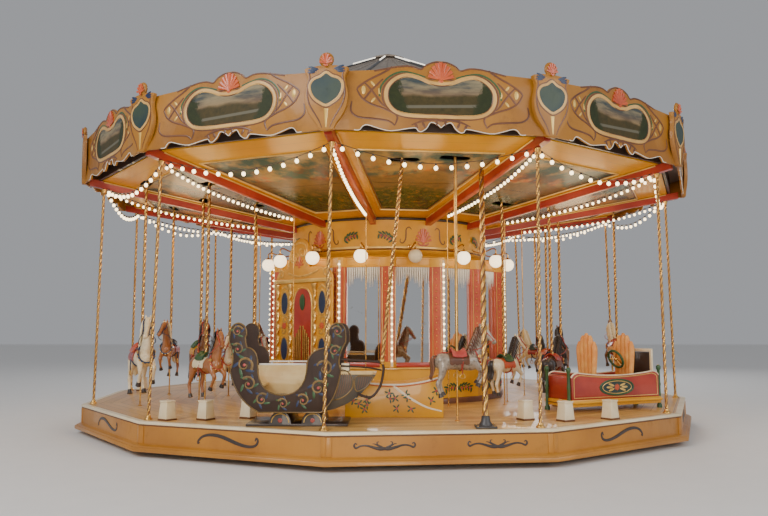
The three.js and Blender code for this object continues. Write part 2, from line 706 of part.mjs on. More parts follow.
function carBody() {
  const { halfLength, halfWidth, low, top, wall, dip } = CAR;
  const side = new THREE.Shape();
  side.moveTo(-halfLength, low);
  side.lineTo(halfLength, low);
  side.lineTo(halfLength, top - 60);
  side.quadraticCurveTo(halfLength - 20, top - 10, halfLength - 110, top);
  side.quadraticCurveTo(0, top - dip, 110 - halfLength, top);
  side.quadraticCurveTo(20 - halfLength, top - 10, -halfLength, top - 60);
  const outer = sideBoard(side, -halfWidth, halfWidth);
  const long = halfLength - wall;
  const wide = halfWidth - wall;
  return cutBy(outer, [box(-long, -wide, low + wall, long, wide, top + CUT_PAST)]);
}

// A padded seat with a shell back, given the middle of its cushion
function carSeat(x) {
  const { across, backHalf, length, cushion, top, thickness, overlap } = CAR_SEAT;
  const low = CAR.low + CAR.wall + SEAT_GAP;
  const seat = box(x - length / 2, -across, low, x + length / 2, across, low + cushion);
  const shell = new THREE.Shape();
  shell.moveTo(-backHalf, low);
  shell.lineTo(backHalf, low);
  shell.quadraticCurveTo(backHalf + 40, top - 240, backHalf - 50, top - 90);
  shell.quadraticCurveTo(110, top, 0, top);
  shell.quadraticCurveTo(-110, top, 50 - backHalf, top - 90);
  shell.quadraticCurveTo(-backHalf - 40, top - 240, -backHalf, low);
  const back = sideBoard(shell, 0, thickness).rotateZ(Math.PI / 2);
  return joined([seat, back.translate(x - length / 2 - overlap, 0, 0)]);
}

function carFrame() {
  const { halfLength, halfWidth, low } = CAR;
  const { rail, post, postTop, out, cap, side } = CAR_FRAME;
  const long = halfLength + out;
  const wide = halfWidth + side;
  const solids = [box(-long, -wide, rail, long, wide, low - SEAT_GAP)];
  for (const x of [-long, long]) {
    for (const y of [-halfWidth + out, halfWidth - out]) {
      solids.push(box(x - post, y - cap, SEAT_GAP, x + post, y + cap, postTop));
    }
  }
  return joined(solids);
}

function carScreen() {
  const { x, depth, top, border, sill, play } = CAR_SCREEN;
  const across = CAR.halfWidth - CAR.wall - play;
  const clear = across - border;
  const low = CAR.low + CAR.wall + SEAT_GAP;
  const hoop = box(x, -across, low, x + depth, across, top);
  const gap = box(x - CUT_PAST, -clear, low + sill, x + depth + CUT_PAST, clear, top - border);
  return cutBy(hoop, [gap]);
}

// The horse's own stations, for a horse that faces +X with its hooves at height zero
const TRUNK = [
  [-262, 0, 430, 58, 60], [-205, 0, 425, 108, 98], [0, 0, 420, 112, 100],
  [170, 0, 425, 108, 112], [268, 0, 475, 62, 88],
];
const NECK = [[190, 0, 470, 72, 112], [272, 0, 620, 48, 78], [315, -5, 790, 34, 50]];
const HEAD = [[292, 0, 812, 34, 48], [368, -22, 772, 38, 54], [468, -58, 650, 23, 27]];
const EARS = [[300, 0, 818, 38, 20], [306, 0, 888, 24, 8]];
const TAIL = [[-240, 0, 480, 28, 32], [-305, 0, 440, 32, 36], [-325, 0, 215, 14, 18]];
const FORELEG_HIGH = [[225, 62, 415, 48, 60], [325, 70, 330, 29, 34], [268, 72, 165, 25, 27]];
const FORELEG_LOW = [[215, -62, 415, 48, 60], [318, -70, 300, 29, 34], [240, -72, 140, 25, 27]];
const HINDLEG_NEAR = [
  [-180, -62, 415, 52, 80], [-215, -70, 262, 32, 40], [-250, -72, 118, 23, 26], [-225, -72, 0, 29, 32],
];
const HINDLEG_FAR = [
  [-165, 62, 415, 52, 80], [-150, 70, 262, 32, 40], [-185, 72, 122, 23, 26], [-150, 72, 12, 29, 32],
];
const HORSE_SIDES = { trunk: 8, neck: 6, leg: 4 };

// A horse with its pole, at its own radius and angle on the platform, bored for the floor rod
function horseWithPole(radius, degrees, rest, size) {
  const lift = FLOOR_TOP + HOOF_HEIGHT[rest];
  const poleTop = ceilingOver(radius, degrees) + HORSE_POLE.above - lift;
  const belly = HORSE_POLE.belly * size;
  const grown = (stations) => stations.map((station) => station.map((length) => length * size));
  const { trunk, neck, leg } = HORSE_SIDES;
  const body = [limb(grown(TRUNK), trunk), limb(grown(NECK), neck), limb(grown(HEAD), neck)];
  for (const stations of [EARS, TAIL, FORELEG_HIGH, FORELEG_LOW, HINDLEG_NEAR, HINDLEG_FAR]) {
    body.push(limb(grown(stations), leg));
  }
  body.push(upright(HORSE_POLE.radius, belly, poleTop, ROD_SIDES));
  const { boreRadius, boreDepth, boreBelow } = FLOOR_ROD;
  const bore = upright(boreRadius, belly - boreBelow, belly + boreDepth, ROD_SIDES);
  const [x, y] = placeAt(radius, degrees);
  const horse = cutBy(joined(body), [bore]).translate(0, 0, lift);
  return horse.rotateZ(radians(degrees)).translate(x, y, 0);
}

// Assembly

const carousel = new THREE.Group();

carousel.add(piece('ground_frame', groundFrame(), steel));
carousel.add(piece('centre_mast', mast(), steel));

carousel.add(piece('platform_floor', floorWithSteps(), timber));

const turned = new THREE.Group();
turned.rotation.z = BAY_TURN;
turned.add(piece('platform_skirt', skirt(), ochre));
for (let k = 0; k < SIDES; k += 1) {
  const rod = piece(`hanging_rod_${String(k + 1).padStart(2, '0')}`, hangingRod(), brass);
  rod.rotation.z = (k + 0.5) * BAY;
  turned.add(rod);
}
turned.add(piece('turning_hub', turningHub(), steel));
turned.add(piece('sweeps', sweeps(), red));
turned.add(piece('ceiling', ceiling(), yellow));
turned.add(piece('rim_ring', rimRing(), dark));
turned.add(piece('roof', roof(), dark));
turned.add(piece('roof_cap', roofCap(), dark));
turned.add(piece('crown', crown(), ochre));
carousel.add(turned);

const drum = new THREE.Group();
drum.rotation.z = DRUM_TURN;
drum.add(piece('drum_base', drumBase(), ochre));
drum.add(piece('drum_mirrors', mirrorWall(), mirror));
drum.add(piece('drum_frame', mirrorFrame(), red));
drum.add(piece('drum_cornice', cornice(), yellow));
drum.add(piece('lamp_ring', lampRing(), brass));
carousel.add(drum);
carousel.add(piece('organ_front', organFront(), gilt));

const gondola = new THREE.Group();
gondola.position.set(GONDOLA.x, GONDOLA.y, FLOOR_TOP);
const face = GONDOLA.halfWidth;
const behind = face - GONDOLA.board;
gondola.add(piece('gondola_front_side', sideBoard(gondolaSide(), behind, face), timber));
gondola.add(piece('gondola_back_side', sideBoard(gondolaSide(), -face, -behind), timber));
gondola.add(piece('gondola_hull', gondolaHull(), timber));
gondola.add(piece('gondola_stand', gondolaStand(), dark));
gondola.add(piece('gondola_rail', gondolaRail(), timber));
carousel.add(gondola);
carousel.add(piece('gondola_pole', gondolaPole(), brass));
carousel.add(piece('twist_post', twistPost(), brass));

const bench = new THREE.Group();
bench.position.set(BENCH.x, BENCH.y, FLOOR_TOP);
bench.add(piece('bench_body', benchBody(), ochre));
bench.add(piece('bench_seat', benchSeat(), cream));
carousel.add(bench);

const car = new THREE.Group();
car.position.set(CAR.x, CAR.y, FLOOR_TOP);
car.rotation.z = radians(CAR.turn);
car.add(piece('car_body', carBody(), red));
car.add(piece('car_back_seat', carSeat(CAR_SEAT.places[0]), orange));
car.add(piece('car_front_seat', carSeat(CAR_SEAT.places[1]), orange));
car.add(piece('car_frame', carFrame(), gilt));
car.add(piece('car_screen', carScreen(), cream));
carousel.add(car);

HORSES.forEach(([radius, degrees, rest, size], i) => {
  const coat = { color: horseCoats[i % horseCoats.length], roughness: 0.45, metalness: 0.0 };
  const name = `horse_${String(i + 1).padStart(2, '0')}`;
  carousel.add(piece(name, horseWithPole(radius, degrees, rest, size), coat));
});

export default carousel;
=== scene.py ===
# %% [markdown]
# # A fairground carousel
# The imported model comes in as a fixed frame: every node lies in metres, +Z up, with the ground at zero
# and the turning line at the origin. Each step below dresses a part of it, and every new piece rides on
# one of its bodies. The camera and the lights come first, so that every step can be looked at.

# %% Load the frame
import random
from math import atan, atan2, cos, pi, radians, sin, tan, tau

import bmesh
import bpy
from mathutils import Matrix, Vector


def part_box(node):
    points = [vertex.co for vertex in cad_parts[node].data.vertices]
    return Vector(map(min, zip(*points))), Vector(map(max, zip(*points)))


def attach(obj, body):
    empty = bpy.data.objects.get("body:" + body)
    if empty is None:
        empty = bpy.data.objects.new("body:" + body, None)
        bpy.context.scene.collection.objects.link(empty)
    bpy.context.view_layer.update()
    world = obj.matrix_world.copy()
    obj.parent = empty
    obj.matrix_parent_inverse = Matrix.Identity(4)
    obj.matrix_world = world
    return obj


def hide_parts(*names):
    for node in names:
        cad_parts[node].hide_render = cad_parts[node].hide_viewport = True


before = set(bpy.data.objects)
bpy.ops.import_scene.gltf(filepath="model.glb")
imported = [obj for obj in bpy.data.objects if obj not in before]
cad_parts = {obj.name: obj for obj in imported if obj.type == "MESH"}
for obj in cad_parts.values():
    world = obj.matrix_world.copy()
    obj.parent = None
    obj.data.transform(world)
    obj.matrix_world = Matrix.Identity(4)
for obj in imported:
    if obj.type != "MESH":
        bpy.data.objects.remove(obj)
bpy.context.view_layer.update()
scene = bpy.context.scene

# %% [markdown]
# ## Camera and light
# The camera stands at eye height, 13 m before the middle, and looks up by a little over five degrees.
# The lens is worked out from a focal length in pixels, for a picture 768 pixels wide. The light is soft:
# an even pale sky, a large panel over each shoulder of the viewer, and a low one that reaches in under
# the canopy. The ride has hundreds of small lamps, and lighting with each of them would be slow, so one
# soft warm light in each bay stands for the glow of its lamps.

# %% Camera
PICTURE_WIDTH, FOCAL_PIXELS, SENSOR = 768, 743, 36.0
EYE, PITCH, YAW = (0.0, -13.0, 1.535), 0.0948, 0.0052


def placed(name, data, place=(0, 0, 0), turn=(0, 0, 0)):
    """Makes data an object of the scene."""
    thing = bpy.data.objects.new(name, data)
    thing.location, thing.rotation_euler = place, turn
    scene.collection.objects.link(thing)
    return thing


camera = bpy.data.cameras.new("camera")
camera.sensor_width = SENSOR
camera.lens = SENSOR * FOCAL_PIXELS / PICTURE_WIDTH
scene.camera = placed("camera", camera, EYE, (pi / 2 + PITCH, 0.0, YAW))
print("lens", round(camera.lens, 2), "mm")

# %% Sky and light panels
SIDES = 12
BAY = tau / SIDES
TURN = radians(7.16)
world = bpy.data.worlds.new("studio")
world.use_nodes = True
sky = world.node_tree.nodes["Background"].inputs
sky["Color"].default_value, sky["Strength"].default_value = (0.93, 0.95, 1.0, 1.0), 0.38
scene.world = world


def light(name, kind, place, power, colour=(1.0, 1.0, 1.0), aim=2.0, **settings):
    """A lamp that faces the turning line at a height."""
    lamp = bpy.data.lights.new(name, kind)
    lamp.energy, lamp.color = power, colour
    for key, value in settings.items():
        setattr(lamp, key, value)
    way = Vector((0, 0, aim)) - Vector(place)
    placed(name, lamp, place, way.to_track_quat("-Z", "Y").to_euler())


light("key", "AREA", (-9.0, -14.0, 10.0), 1300, shape="SQUARE", size=7.0)
light("fill", "AREA", (11.0, -12.0, 7.0), 700, shape="SQUARE", size=8.0)
light("low", "AREA", (0.0, -17.0, 1.6), 650, (1.0, 0.90, 0.76), 3.2, shape="SQUARE", size=5.0)
light("back", "AREA", (3.0, 15.0, 9.0), 900, shape="SQUARE", size=8.0)
for step in range(SIDES):
    place = (3.55 * sin(TURN + BAY * step), -3.55 * cos(TURN + BAY * step), 3.02)
    light("lamp_glow", "POINT", place, 16, (1.0, 0.70, 0.36), shadow_soft_size=0.35)

# %% [markdown]
# ## Sums in a material
# A pattern is easier to read as a sum than as a list of nodes. `Wire` stands for one output of a node,
# so that `1 - mask` adds the Math node for it. `Finish` holds one material and adds any other node.

# %% Wire and Finish
class Wire:
    """One output of a node that can be used in sums."""

    def __init__(self, finish, socket):
        self.finish, self.socket = finish, socket

    def __add__(self, other):
        return self.finish.sum("ADD", self, other)

    def __radd__(self, other):
        return self.finish.sum("ADD", other, self)

    def __sub__(self, other):
        return self.finish.sum("SUBTRACT", self, other)

    def __rsub__(self, other):
        return self.finish.sum("SUBTRACT", other, self)

    def __mul__(self, other):
        return self.finish.sum("MULTIPLY", self, other)

    def __truediv__(self, other):
        return self.finish.sum("DIVIDE", self, other)

    def __lt__(self, other):
        return self.finish.sum("LESS_THAN", self, other)


class Finish:
    """One material, with its nodes added by short calls."""

    def __init__(self, name):
        self.material = bpy.data.materials.new(name)
        self.material.use_nodes = True
        self.tree = self.material.node_tree
        self.place = self.wire("TexCoord", output="Object")

    def node(self, kind, settings=None, sockets=None):
        """Adds a node of any type, with its settings first and then its sockets' values or links."""
        node = self.tree.nodes.new("ShaderNode" + kind)
        for key, value in (settings or {}).items():
            if key == "stops":
                ends = node.color_ramp.elements
                for end, (position, colour) in ((0, value[0]), (-1, value[-1])):
                    ends[end].position, ends[end].color = position, (*colour, 1.0)
                for position, colour in value[1:-1]:
                    ends.new(position).color = (*colour, 1.0)
            else:
                setattr(node, key, value)
        for key, value in (sockets or {}).items():
            self.plug(node.inputs[key], value)
        return node

    def plug(self, socket, value):
        if isinstance(value, Wire):
            self.tree.links.new(value.socket, socket)
        else:
            socket.default_value = (*value, 1.0) if socket.type == "RGBA" else value

    def wire(self, kind, settings=None, sockets=None, output=0):
        return Wire(self, self.node(kind, settings, sockets).outputs[output])

    def sum(self, operation, *values):
        """A Math node for two wires or numbers."""
        return self.wire("Math", {"operation": operation}, dict(enumerate(values)))

    def mix(self, factor, first, second):
        return self.wire("Mix", {"data_type": "RGBA"}, {0: factor, 6: first, 7: second}, 2)

    def ramp(self, factor, stops):
        return self.wire("ValToRGB", {"stops": stops}, {0: factor})

    def noise(self, scale, detail=3.0, stretch=None, rough=0.5):
        vector = self.wire("Mapping", None, {"Vector": self.place, "Scale": stretch}) if stretch else self.place
        values = {"Vector": vector, "Scale": scale, "Detail": detail, "Roughness": rough}
        return self.wire("TexNoise", None, values, "Fac")

    def cells(self, scale):
        return self.wire("TexVoronoi", None, {"Vector": self.place, "Scale": scale}, "Distance")

    def fade(self, value, low, high):
        """A smooth step from 0 at low to 1 at high."""
        return self.wire("MapRange", {"interpolation_type": "SMOOTHSTEP"}, {0: value, 1: low, 2: high})

    def axes(self):
        node = self.node("SeparateXYZ", None, {0: self.place})
        return [Wire(self, node.outputs[axis]) for axis in range(3)]

    def bump(self, height, distance, strength=0.5):
        return self.wire("Bump", None, {"Height": height, "Distance": distance, "Strength": strength})

    def look(self, **sockets):
        """Sets the shader's sockets, with underscores for the spaces in their names."""
        for name, value in sockets.items():
            self.plug(self.tree.nodes["Principled BSDF"].inputs[name.replace("_", " ")], value)
        return self.material


def shade(colour, share):
    return tuple(share * part for part in colour)


print("Wire and Finish ready")

# %% [markdown]
# ## Paint, metal and wood
# Fairground paint is thick, glossy and brushed by hand, so its colour drifts over a metre, it carries
# fine brush marks, and it is grubby in patches. One function makes every paint from two close tones.

# %% Paint, metal and lamp glass
def paint(name, main, second, rough=0.32, scale=1.6, coat=0.35, grime=0.35, metal=0.0):
    """Glossy brushed paint that drifts between two tones, with patches of dirt."""
    f = Finish(name)
    drift = f.fade(f.noise(scale, 4.0), 0.35, 0.68)
    brush = f.noise(34.0, 3.0, (1.0, 1.0, 0.22))
    patches = f.fade(f.noise(scale * 2.3, 6.0, None, 0.7), 0.52, 0.78)
    colour = f.mix(brush * 0.22, f.mix(drift, main, second), shade(main, 0.72))
    return f.look(Base_Color=f.mix(patches * grime, colour, shade(second, 0.38)), Metallic=metal, Coat_Weight=coat,
                  Roughness=rough + brush * 0.12 + patches * 0.2, Normal=f.bump(brush + patches * 0.4, 0.0012))


def metal(name, main, second, rough=0.22):
    """Polished metal with a darker tarnish in soft patches and faint scratches."""
    f = Finish(name)
    tarnish = f.fade(f.noise(5.0, 5.0, None, 0.65), 0.4, 0.75)
    scratches = f.noise(140.0, 2.0, (1.0, 1.0, 0.1))
    return f.look(Base_Color=f.mix(tarnish, main, second), Metallic=1.0,
                  Roughness=rough + tarnish * 0.25 + scratches * 0.08, Normal=f.bump(scratches, 0.0006, 0.4))


def glow(name, colour, strength):
    """A lit lamp: the glass shines evenly, with a slightly warmer tint in soft patches."""
    f = Finish(name)
    tint = f.fade(f.noise(9.0, 2.0), 0.3, 0.7)
    warm = f.mix(tint * 0.12, colour, (colour[0], colour[1] * 0.8, colour[2] * 0.5))
    material = f.look(Base_Color=colour, Emission_Color=warm, Emission_Strength=strength, Roughness=0.15)
    material.cycles.emission_sampling = "NONE"
    return material


OCHRE = paint("ochre_paint", (0.48, 0.20, 0.020), (0.38, 0.145, 0.014), 0.36, 1.6, 0.2)
# The crown's paint is the ochre made darker: painted shade for the crown, which stands dark above the lamps. Its
# patches of dirt are dirt.
CROWN_SHADED_OCHRE = paint("crown_shaded_ochre", (0.40, 0.165, 0.014), (0.28, 0.105, 0.010), 0.42, 1.1, 0.1, 0.5)
GILT = metal("gilt_leaf", (0.86, 0.56, 0.18), (0.55, 0.30, 0.07), 0.3)
GOLD_LINE = paint("gold_line", (0.83, 0.55, 0.14), (0.66, 0.40, 0.08), 0.28, 4.0, 0.5, 0.2, 0.35)
RED = paint("red_paint", (0.44, 0.045, 0.02), (0.30, 0.02, 0.012), 0.3, 2.2, 0.45)
ORANGE_RED = paint("orange_red_paint", (0.62, 0.11, 0.025), (0.48, 0.06, 0.018), 0.3, 2.2, 0.45)
YELLOW = paint("yellow_paint", (0.78, 0.38, 0.012), (0.68, 0.29, 0.008), 0.26, 1.3, 0.3, 0.2)
MUSTARD = paint("mustard_paint", (0.74, 0.36, 0.014), (0.62, 0.27, 0.009), 0.32, 2.0, 0.2, 0.25)
CREAM = paint("cream_paint", (0.86, 0.74, 0.50), (0.78, 0.62, 0.36), 0.35, 3.0, 0.3, 0.3)
SAND = paint("sand_paint", (0.72, 0.42, 0.12), (0.58, 0.30, 0.07), 0.36, 3.0, 0.15, 0.35)
WHITE = paint("white_paint", (0.88, 0.84, 0.74), (0.80, 0.74, 0.62), 0.4, 3.0, 0.2, 0.25)
DARK = paint("dark_paint", (0.030, 0.022, 0.018), (0.050, 0.030, 0.022), 0.4, 3.0, 0.3, 0.4)
BROWN = paint("brown_line", (0.16, 0.055, 0.018), (0.10, 0.032, 0.012), 0.38, 4.0, 0.3, 0.3)
GREEN = paint("green_paint", (0.020, 0.075, 0.025), (0.040, 0.105, 0.022), 0.4, 5.0, 0.2, 0.3)
OLIVE_GOLD = paint("olive_gold_paint", (0.22, 0.125, 0.032), (0.11, 0.065, 0.020), 0.38, 6.0, 0.1, 0.5, 0.2)
BLUE = paint("blue_paint", (0.010, 0.022, 0.075), (0.018, 0.036, 0.080), 0.4, 5.0, 0.15, 0.3)
TEAL = paint("blue_green_paint", (0.014, 0.036, 0.042), (0.040, 0.062, 0.034), 0.45, 2.4, 0.05, 0.5)
ROSE = paint("rose_paint", (0.55, 0.09, 0.07), (0.42, 0.05, 0.05), 0.4, 8.0, 0.2, 0.2)
STEEL = paint("frame_steel", (0.06, 0.06, 0.065), (0.09, 0.085, 0.085), 0.45, 3.0, 0.15, 0.5, 0.6)
BRASS = metal("brass", (0.74, 0.43, 0.12), (0.40, 0.20, 0.05))
LIT_BULB = glow("lit_bulb", (1.0, 0.80, 0.47), 5.0)
LIT_GLOBE = glow("lit_globe", (1.0, 0.83, 0.55), 2.6)
LIT_LINE = glow("lit_line", (1.0, 0.93, 0.8), 1.6)
print(len(bpy.data.materials), "finishes so far")

# %% [markdown]
# ## Patterns that follow the twelve sides
# The floor and the ceiling are one piece each, and their patterns repeat from side to side. The angle
# of a point gives the side it belongs to, and turning the point back by that side's angle gives how far
# it lies across the side and how far out.

# %% Floor boards
def side_coordinates(f):
    """Wires for the way across a side, the way out from the middle, and the side's number."""
    x, y, _ = f.axes()
    around = (f.sum("ARCTAN2", x, 0 - y) - TURN) / BAY
    side = f.sum("ROUND", around)
    local = (around - side) * BAY
    far = f.sum("SQRT", x * x + y * y)
    return far * f.sum("SINE", local), far * f.sum("COSINE", local), side


def floor_boards(name, board_width=0.145):
    """Varnished boards that lie along each side, with dark joints and worn patches."""
    f = Finish(name)
    across, out, side = side_coordinates(f)
    row, within = f.sum("FLOOR", out / board_width), f.sum("FRACT", out / board_width)
    seed = f.wire("CombineXYZ", None, {0: row, 1: side, 2: 0.5})
    tone = f.wire("TexWhiteNoise", None, {"Vector": seed}, "Value")
    along = f.wire("CombineXYZ", None, {0: across * 1.5, 1: out * 28, 2: tone * 9})
    grain = f.wire("TexNoise", None, {"Vector": along, "Scale": 1.6, "Detail": 5.0}, "Fac")
    joint = f.sum("MINIMUM", within, 1 - within) < 0.018
    worn = f.fade(f.noise(0.9, 5.0), 0.45, 0.7)
    tones = [(0.15, (0.33, 0.15, 0.035)), (0.5, (0.55, 0.29, 0.075)), (0.85, (0.72, 0.43, 0.13))]
    colour = f.mix(worn * 0.4, f.ramp(tone * 0.45 + grain * 0.6, tones), (0.66, 0.45, 0.20))
    return f.look(Base_Color=f.mix(joint, colour, (0.07, 0.03, 0.012)), Roughness=0.3 + grain * 0.15 + worn * 0.15,
                  Coat_Weight=0.25, Normal=f.bump(grain * 0.3 - joint, 0.002))


# %% Ceiling pictures
PANEL_NEAR, PANEL_FAR, PANEL_MARGIN = 2.0, 4.12, 0.17


def ceiling_picture(name):
    """Glossy yellow boards with one painted hill view in each side's panel."""
    f = Finish(name)
    across, out, _ = side_coordinates(f)
    half = out * tan(BAY / 2) - PANEL_MARGIN
    ends = f.sum("MINIMUM", out - PANEL_NEAR, PANEL_FAR - out)
    edge = f.sum("MINIMUM", half - f.sum("ABSOLUTE", across), ends)
    up = (out - PANEL_NEAR) / 2.1
    clouds = f.fade(f.noise(2.4, 5.0, (1.0, 1.0, 1.0), 0.6), 0.42, 0.62)
    rust = f.fade(f.noise(3.2, 5.0, None, 0.7), 0.42, 0.60) * f.fade(up, 0.92, 0.62)
    sky = f.mix(rust, f.mix(clouds, (0.040, 0.085, 0.065), (0.36, 0.22, 0.06)),
                f.mix(clouds, (0.14, 0.045, 0.012), (0.50, 0.13, 0.015)))
    above = up - (0.42 + f.noise(0.9, 4.0) * 0.42)
    leaves = f.noise(11.0, 6.0, None, 0.7)
    hills = f.ramp(leaves, [(0.30, (0.012, 0.030, 0.008)), (0.50, (0.050, 0.075, 0.016)),
                            (0.60, (0.16, 0.10, 0.022)), (0.72, (0.36, 0.12, 0.02))])
    far_hills = f.mix(leaves, (0.050, 0.070, 0.035), (0.30, 0.14, 0.035))
    view = f.mix(f.fade(above, -0.02, 0.03), f.mix(f.fade(above, -0.34, -0.12), hills, far_hills), sky)
    view = f.mix(f.sum("ABSOLUTE", out - 3.06) < 0.006, view, (0.06, 0.03, 0.01))
    drift, stipple = f.fade(f.noise(1.3, 3.0), 0.3, 0.7), f.fade(f.noise(70.0, 2.0), 0.55, 0.68)
    boards = f.mix(drift, (0.78, 0.37, 0.010), (0.68, 0.28, 0.006))
    boards = f.mix(stipple * f.fade(out, 4.3, 4.1) * 0.5, boards, (0.40, 0.18, 0.02))
    boards = f.mix(f.sum("FRACT", out / 0.19) < 0.02, boards, (0.42, 0.21, 0.02))
    colour = f.mix(f.fade(edge, 0.03, 0.042), f.mix(f.fade(edge, 0.0, 0.012), boards, (0.30, 0.12, 0.02)), view)
    brush = f.noise(30.0, 3.0)
    return f.look(Base_Color=colour, Roughness=0.2 + brush * 0.1, Specular_IOR_Level=0.22,
                  Normal=f.bump(brush, 0.0008, 0.4))


# %% Mirror glass, carved wood and roof sheet
def looking_glass(name):
    """Old mirror glass, clear in the middle, with grey foxing in small patches."""
    f = Finish(name)
    foxing = f.fade(f.noise(7.0, 7.0, None, 0.7), 0.62, 0.8)
    return f.look(Base_Color=f.mix(foxing, (0.86, 0.87, 0.86), (0.35, 0.30, 0.24)), Roughness=0.03 + foxing * 0.3,
                  Metallic=1.0)


def carved_wood(name, main, second):
    """Dark stained carving with a grain along it and darker blotches."""
    f = Finish(name)
    grain = f.noise(9.0, 6.0, (3.0, 1.0, 0.5), 0.65)
    blotch = f.fade(f.noise(4.0, 3.0), 0.35, 0.7)
    return f.look(Base_Color=f.mix(blotch * 0.5, f.mix(grain, main, second), shade(main, 0.45)),
                  Roughness=0.38 + grain * 0.2, Specular_IOR_Level=0.35, Normal=f.bump(grain, 0.002))


def roof_sheeting(name):
    """Painted sheet that has weathered in streaks down its slope."""
    f = Finish(name)
    streak = f.noise(3.0, 6.0, (2.5, 2.5, 0.4), 0.65)
    stains = f.fade(f.noise(1.1, 5.0), 0.4, 0.7)
    colour = f.mix(streak, (0.30, 0.25, 0.20), (0.20, 0.155, 0.12))
    return f.look(Base_Color=f.mix(stains * 0.5, colour, (0.13, 0.11, 0.09)), Roughness=0.45 + streak * 0.2,
                  Normal=f.bump(streak, 0.004))


BOARDS = floor_boards("floor_boards")
CEILING = ceiling_picture("ceiling_picture")
MIRROR = looking_glass("looking_glass")
CARVED = carved_wood("carved_wood", (0.055, 0.026, 0.014), (0.028, 0.016, 0.012))
SHEET = roof_sheeting("roof_sheet")
print(len(bpy.data.materials), "finishes so far")

# %% [markdown]
# ## Helpers for shapes
# Each helper makes one scratch mesh with bmesh operators or from a curve. A `Piece` gathers such shapes,
# copies them to their places and becomes one object with its place in its mesh.

# %% Places
BOTH = (-1, 1)
STAY = Matrix.Identity(4)
FLIP_X, FLIP_Y = Matrix.Scale(-1, 4, (1, 0, 0)), Matrix.Scale(-1, 4, (0, 1, 0))


def shift(x=0.0, y=0.0, z=0.0):
    return Matrix.Translation((x, y, z))


def tip(degrees, axis="Y"):
    return Matrix.Rotation(radians(degrees), 4, axis)


def at(angle, x=0.0, out=0.0, z=0.0):
    """The place at an angle round the middle, that far across, out and up."""
    return Matrix.Rotation(angle, 4, "Z") @ shift(x, -out, z)


def ring(turns, x=0.0, out=0.0, z=0.0):
    return [at(turn, x, out, z) for turn in turns]


SIDE_TURNS = [TURN + BAY * k for k in range(SIDES)]
CORNER_TURNS = [TURN + BAY * (k + 0.5) for k in range(SIDES)]
DRUM_SIDES = 16
DRUM_BAY = tau / DRUM_SIDES
DRUM_TURN = radians(11.35)
DRUM_TURNS = [DRUM_TURN + DRUM_BAY * k for k in range(DRUM_SIDES)]
SIDE_PLACES, CORNER_PLACES = ring(SIDE_TURNS), ring(CORNER_TURNS)
print("sides and drum turns ready")

# %% Piece
def scratch(bm):
    mesh = bpy.data.meshes.new("scratch")
    bm.to_mesh(mesh)
    bm.free()
    return mesh


def joined(shapes):
    bm = bmesh.new()
    for shape in shapes:
        bm.from_mesh(shape)
    return scratch(bm)


def moved(shape, place):
    shape.transform(place)
    return shape


class Piece:
    """Gathers shapes into one mesh, and shows it as one object on a body."""

    def __init__(self, name):
        self.name, self.bm, self.finishes = name, bmesh.new(), []

    def add(self, shape, finish, places=STAY):
        """Adds a shape, or a list of shapes, at one place or at a list of places."""
        shape = joined(shape) if isinstance(shape, list) else shape
        if finish not in self.finishes:
            self.finishes.append(finish)
        for place in places if isinstance(places, list) else [places]:
            copy = shape.copy()
            copy.transform(place)
            if place.determinant() < 0:
                copy.flip_normals()
            copy.polygons.foreach_set("material_index", [self.finishes.index(finish)] * len(copy.polygons))
            self.bm.from_mesh(copy)
            bpy.data.meshes.remove(copy)
        return self

    def show(self, slot, *nodes, body="carousel", sharp=38.0):
        """Makes the object, smooth but for its sharp edges, and hides the CAD nodes that it stands for."""
        for face in self.bm.faces:
            face.smooth = True
        for edge in self.bm.edges:
            if len(edge.link_faces) == 2 and edge.calc_face_angle(0.0) > radians(sharp):
                edge.smooth = False
        mesh = bpy.data.meshes.new(self.name)
        self.bm.to_mesh(mesh)
        self.bm.free()
        for finish in self.finishes:
            mesh.materials.append(finish)
        piece = placed(self.name, mesh)
        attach(piece, body)
        if nodes:
            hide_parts(*nodes)
        print(self.name, len(mesh.polygons), "faces")
        return piece


# %% Blocks, balls, spun and extruded shapes
def bevel_edges(bm, edges, width, segments=2):
    bmesh.ops.bevel(bm, geom=edges, offset=width, segments=segments, affect="EDGES", profile=0.5, material=-1,
                    clamp_overlap=True)


def block(low, high, round_by):
    """A box between two corners, with its edges rounded."""
    bm = bmesh.new()
    low, high = Vector(low), Vector(high)
    bmesh.ops.create_cube(bm, size=1.0, matrix=shift(*(high + low) / 2) @ Matrix.Diagonal((*(high - low), 1.0)))
    bevel_edges(bm, bm.edges[:], round_by)
    return scratch(bm)


def ball(radius, around=12, high=8, squash=(1.0, 1.0, 1.0)):
    bm = bmesh.new()
    bmesh.ops.create_uvsphere(bm, u_segments=around, v_segments=high, radius=radius)
    bmesh.ops.scale(bm, vec=squash, verts=bm.verts)
    return scratch(bm)


def spun(outline, steps, turn=0.0):
    """Turns an outline of radius and height points about the upright line. One off the line is closed."""
    bm = bmesh.new()
    points = [bm.verts.new((radius, 0.0, height)) for radius, height in outline]
    pairs = list(zip(points, points[1:]))
    if outline[0][0] > 0:
        pairs.append((points[-1], points[0]))
    edges = [bm.edges.new(pair) for pair in pairs]
    bmesh.ops.spin(bm, geom=points + edges, cent=(0, 0, 0), axis=(0, 0, 1), angle=tau, steps=steps, use_merge=True)
    bmesh.ops.remove_doubles(bm, verts=bm.verts, dist=1e-5)
    bmesh.ops.recalc_face_normals(bm, faces=bm.faces)
    bmesh.ops.rotate(bm, cent=(0, 0, 0), matrix=Matrix.Rotation(turn, 3, "Z"), verts=bm.verts)
    return scratch(bm)


def sided_ring(outline):
    """A moulding that runs round the twelve corners of the platform."""
    return spun(outline, SIDES, TURN + BAY / 2 - pi / 2)


def drum_ring(outline):
    return spun(outline, DRUM_SIDES, DRUM_TURN + DRUM_BAY / 2 - pi / 2)


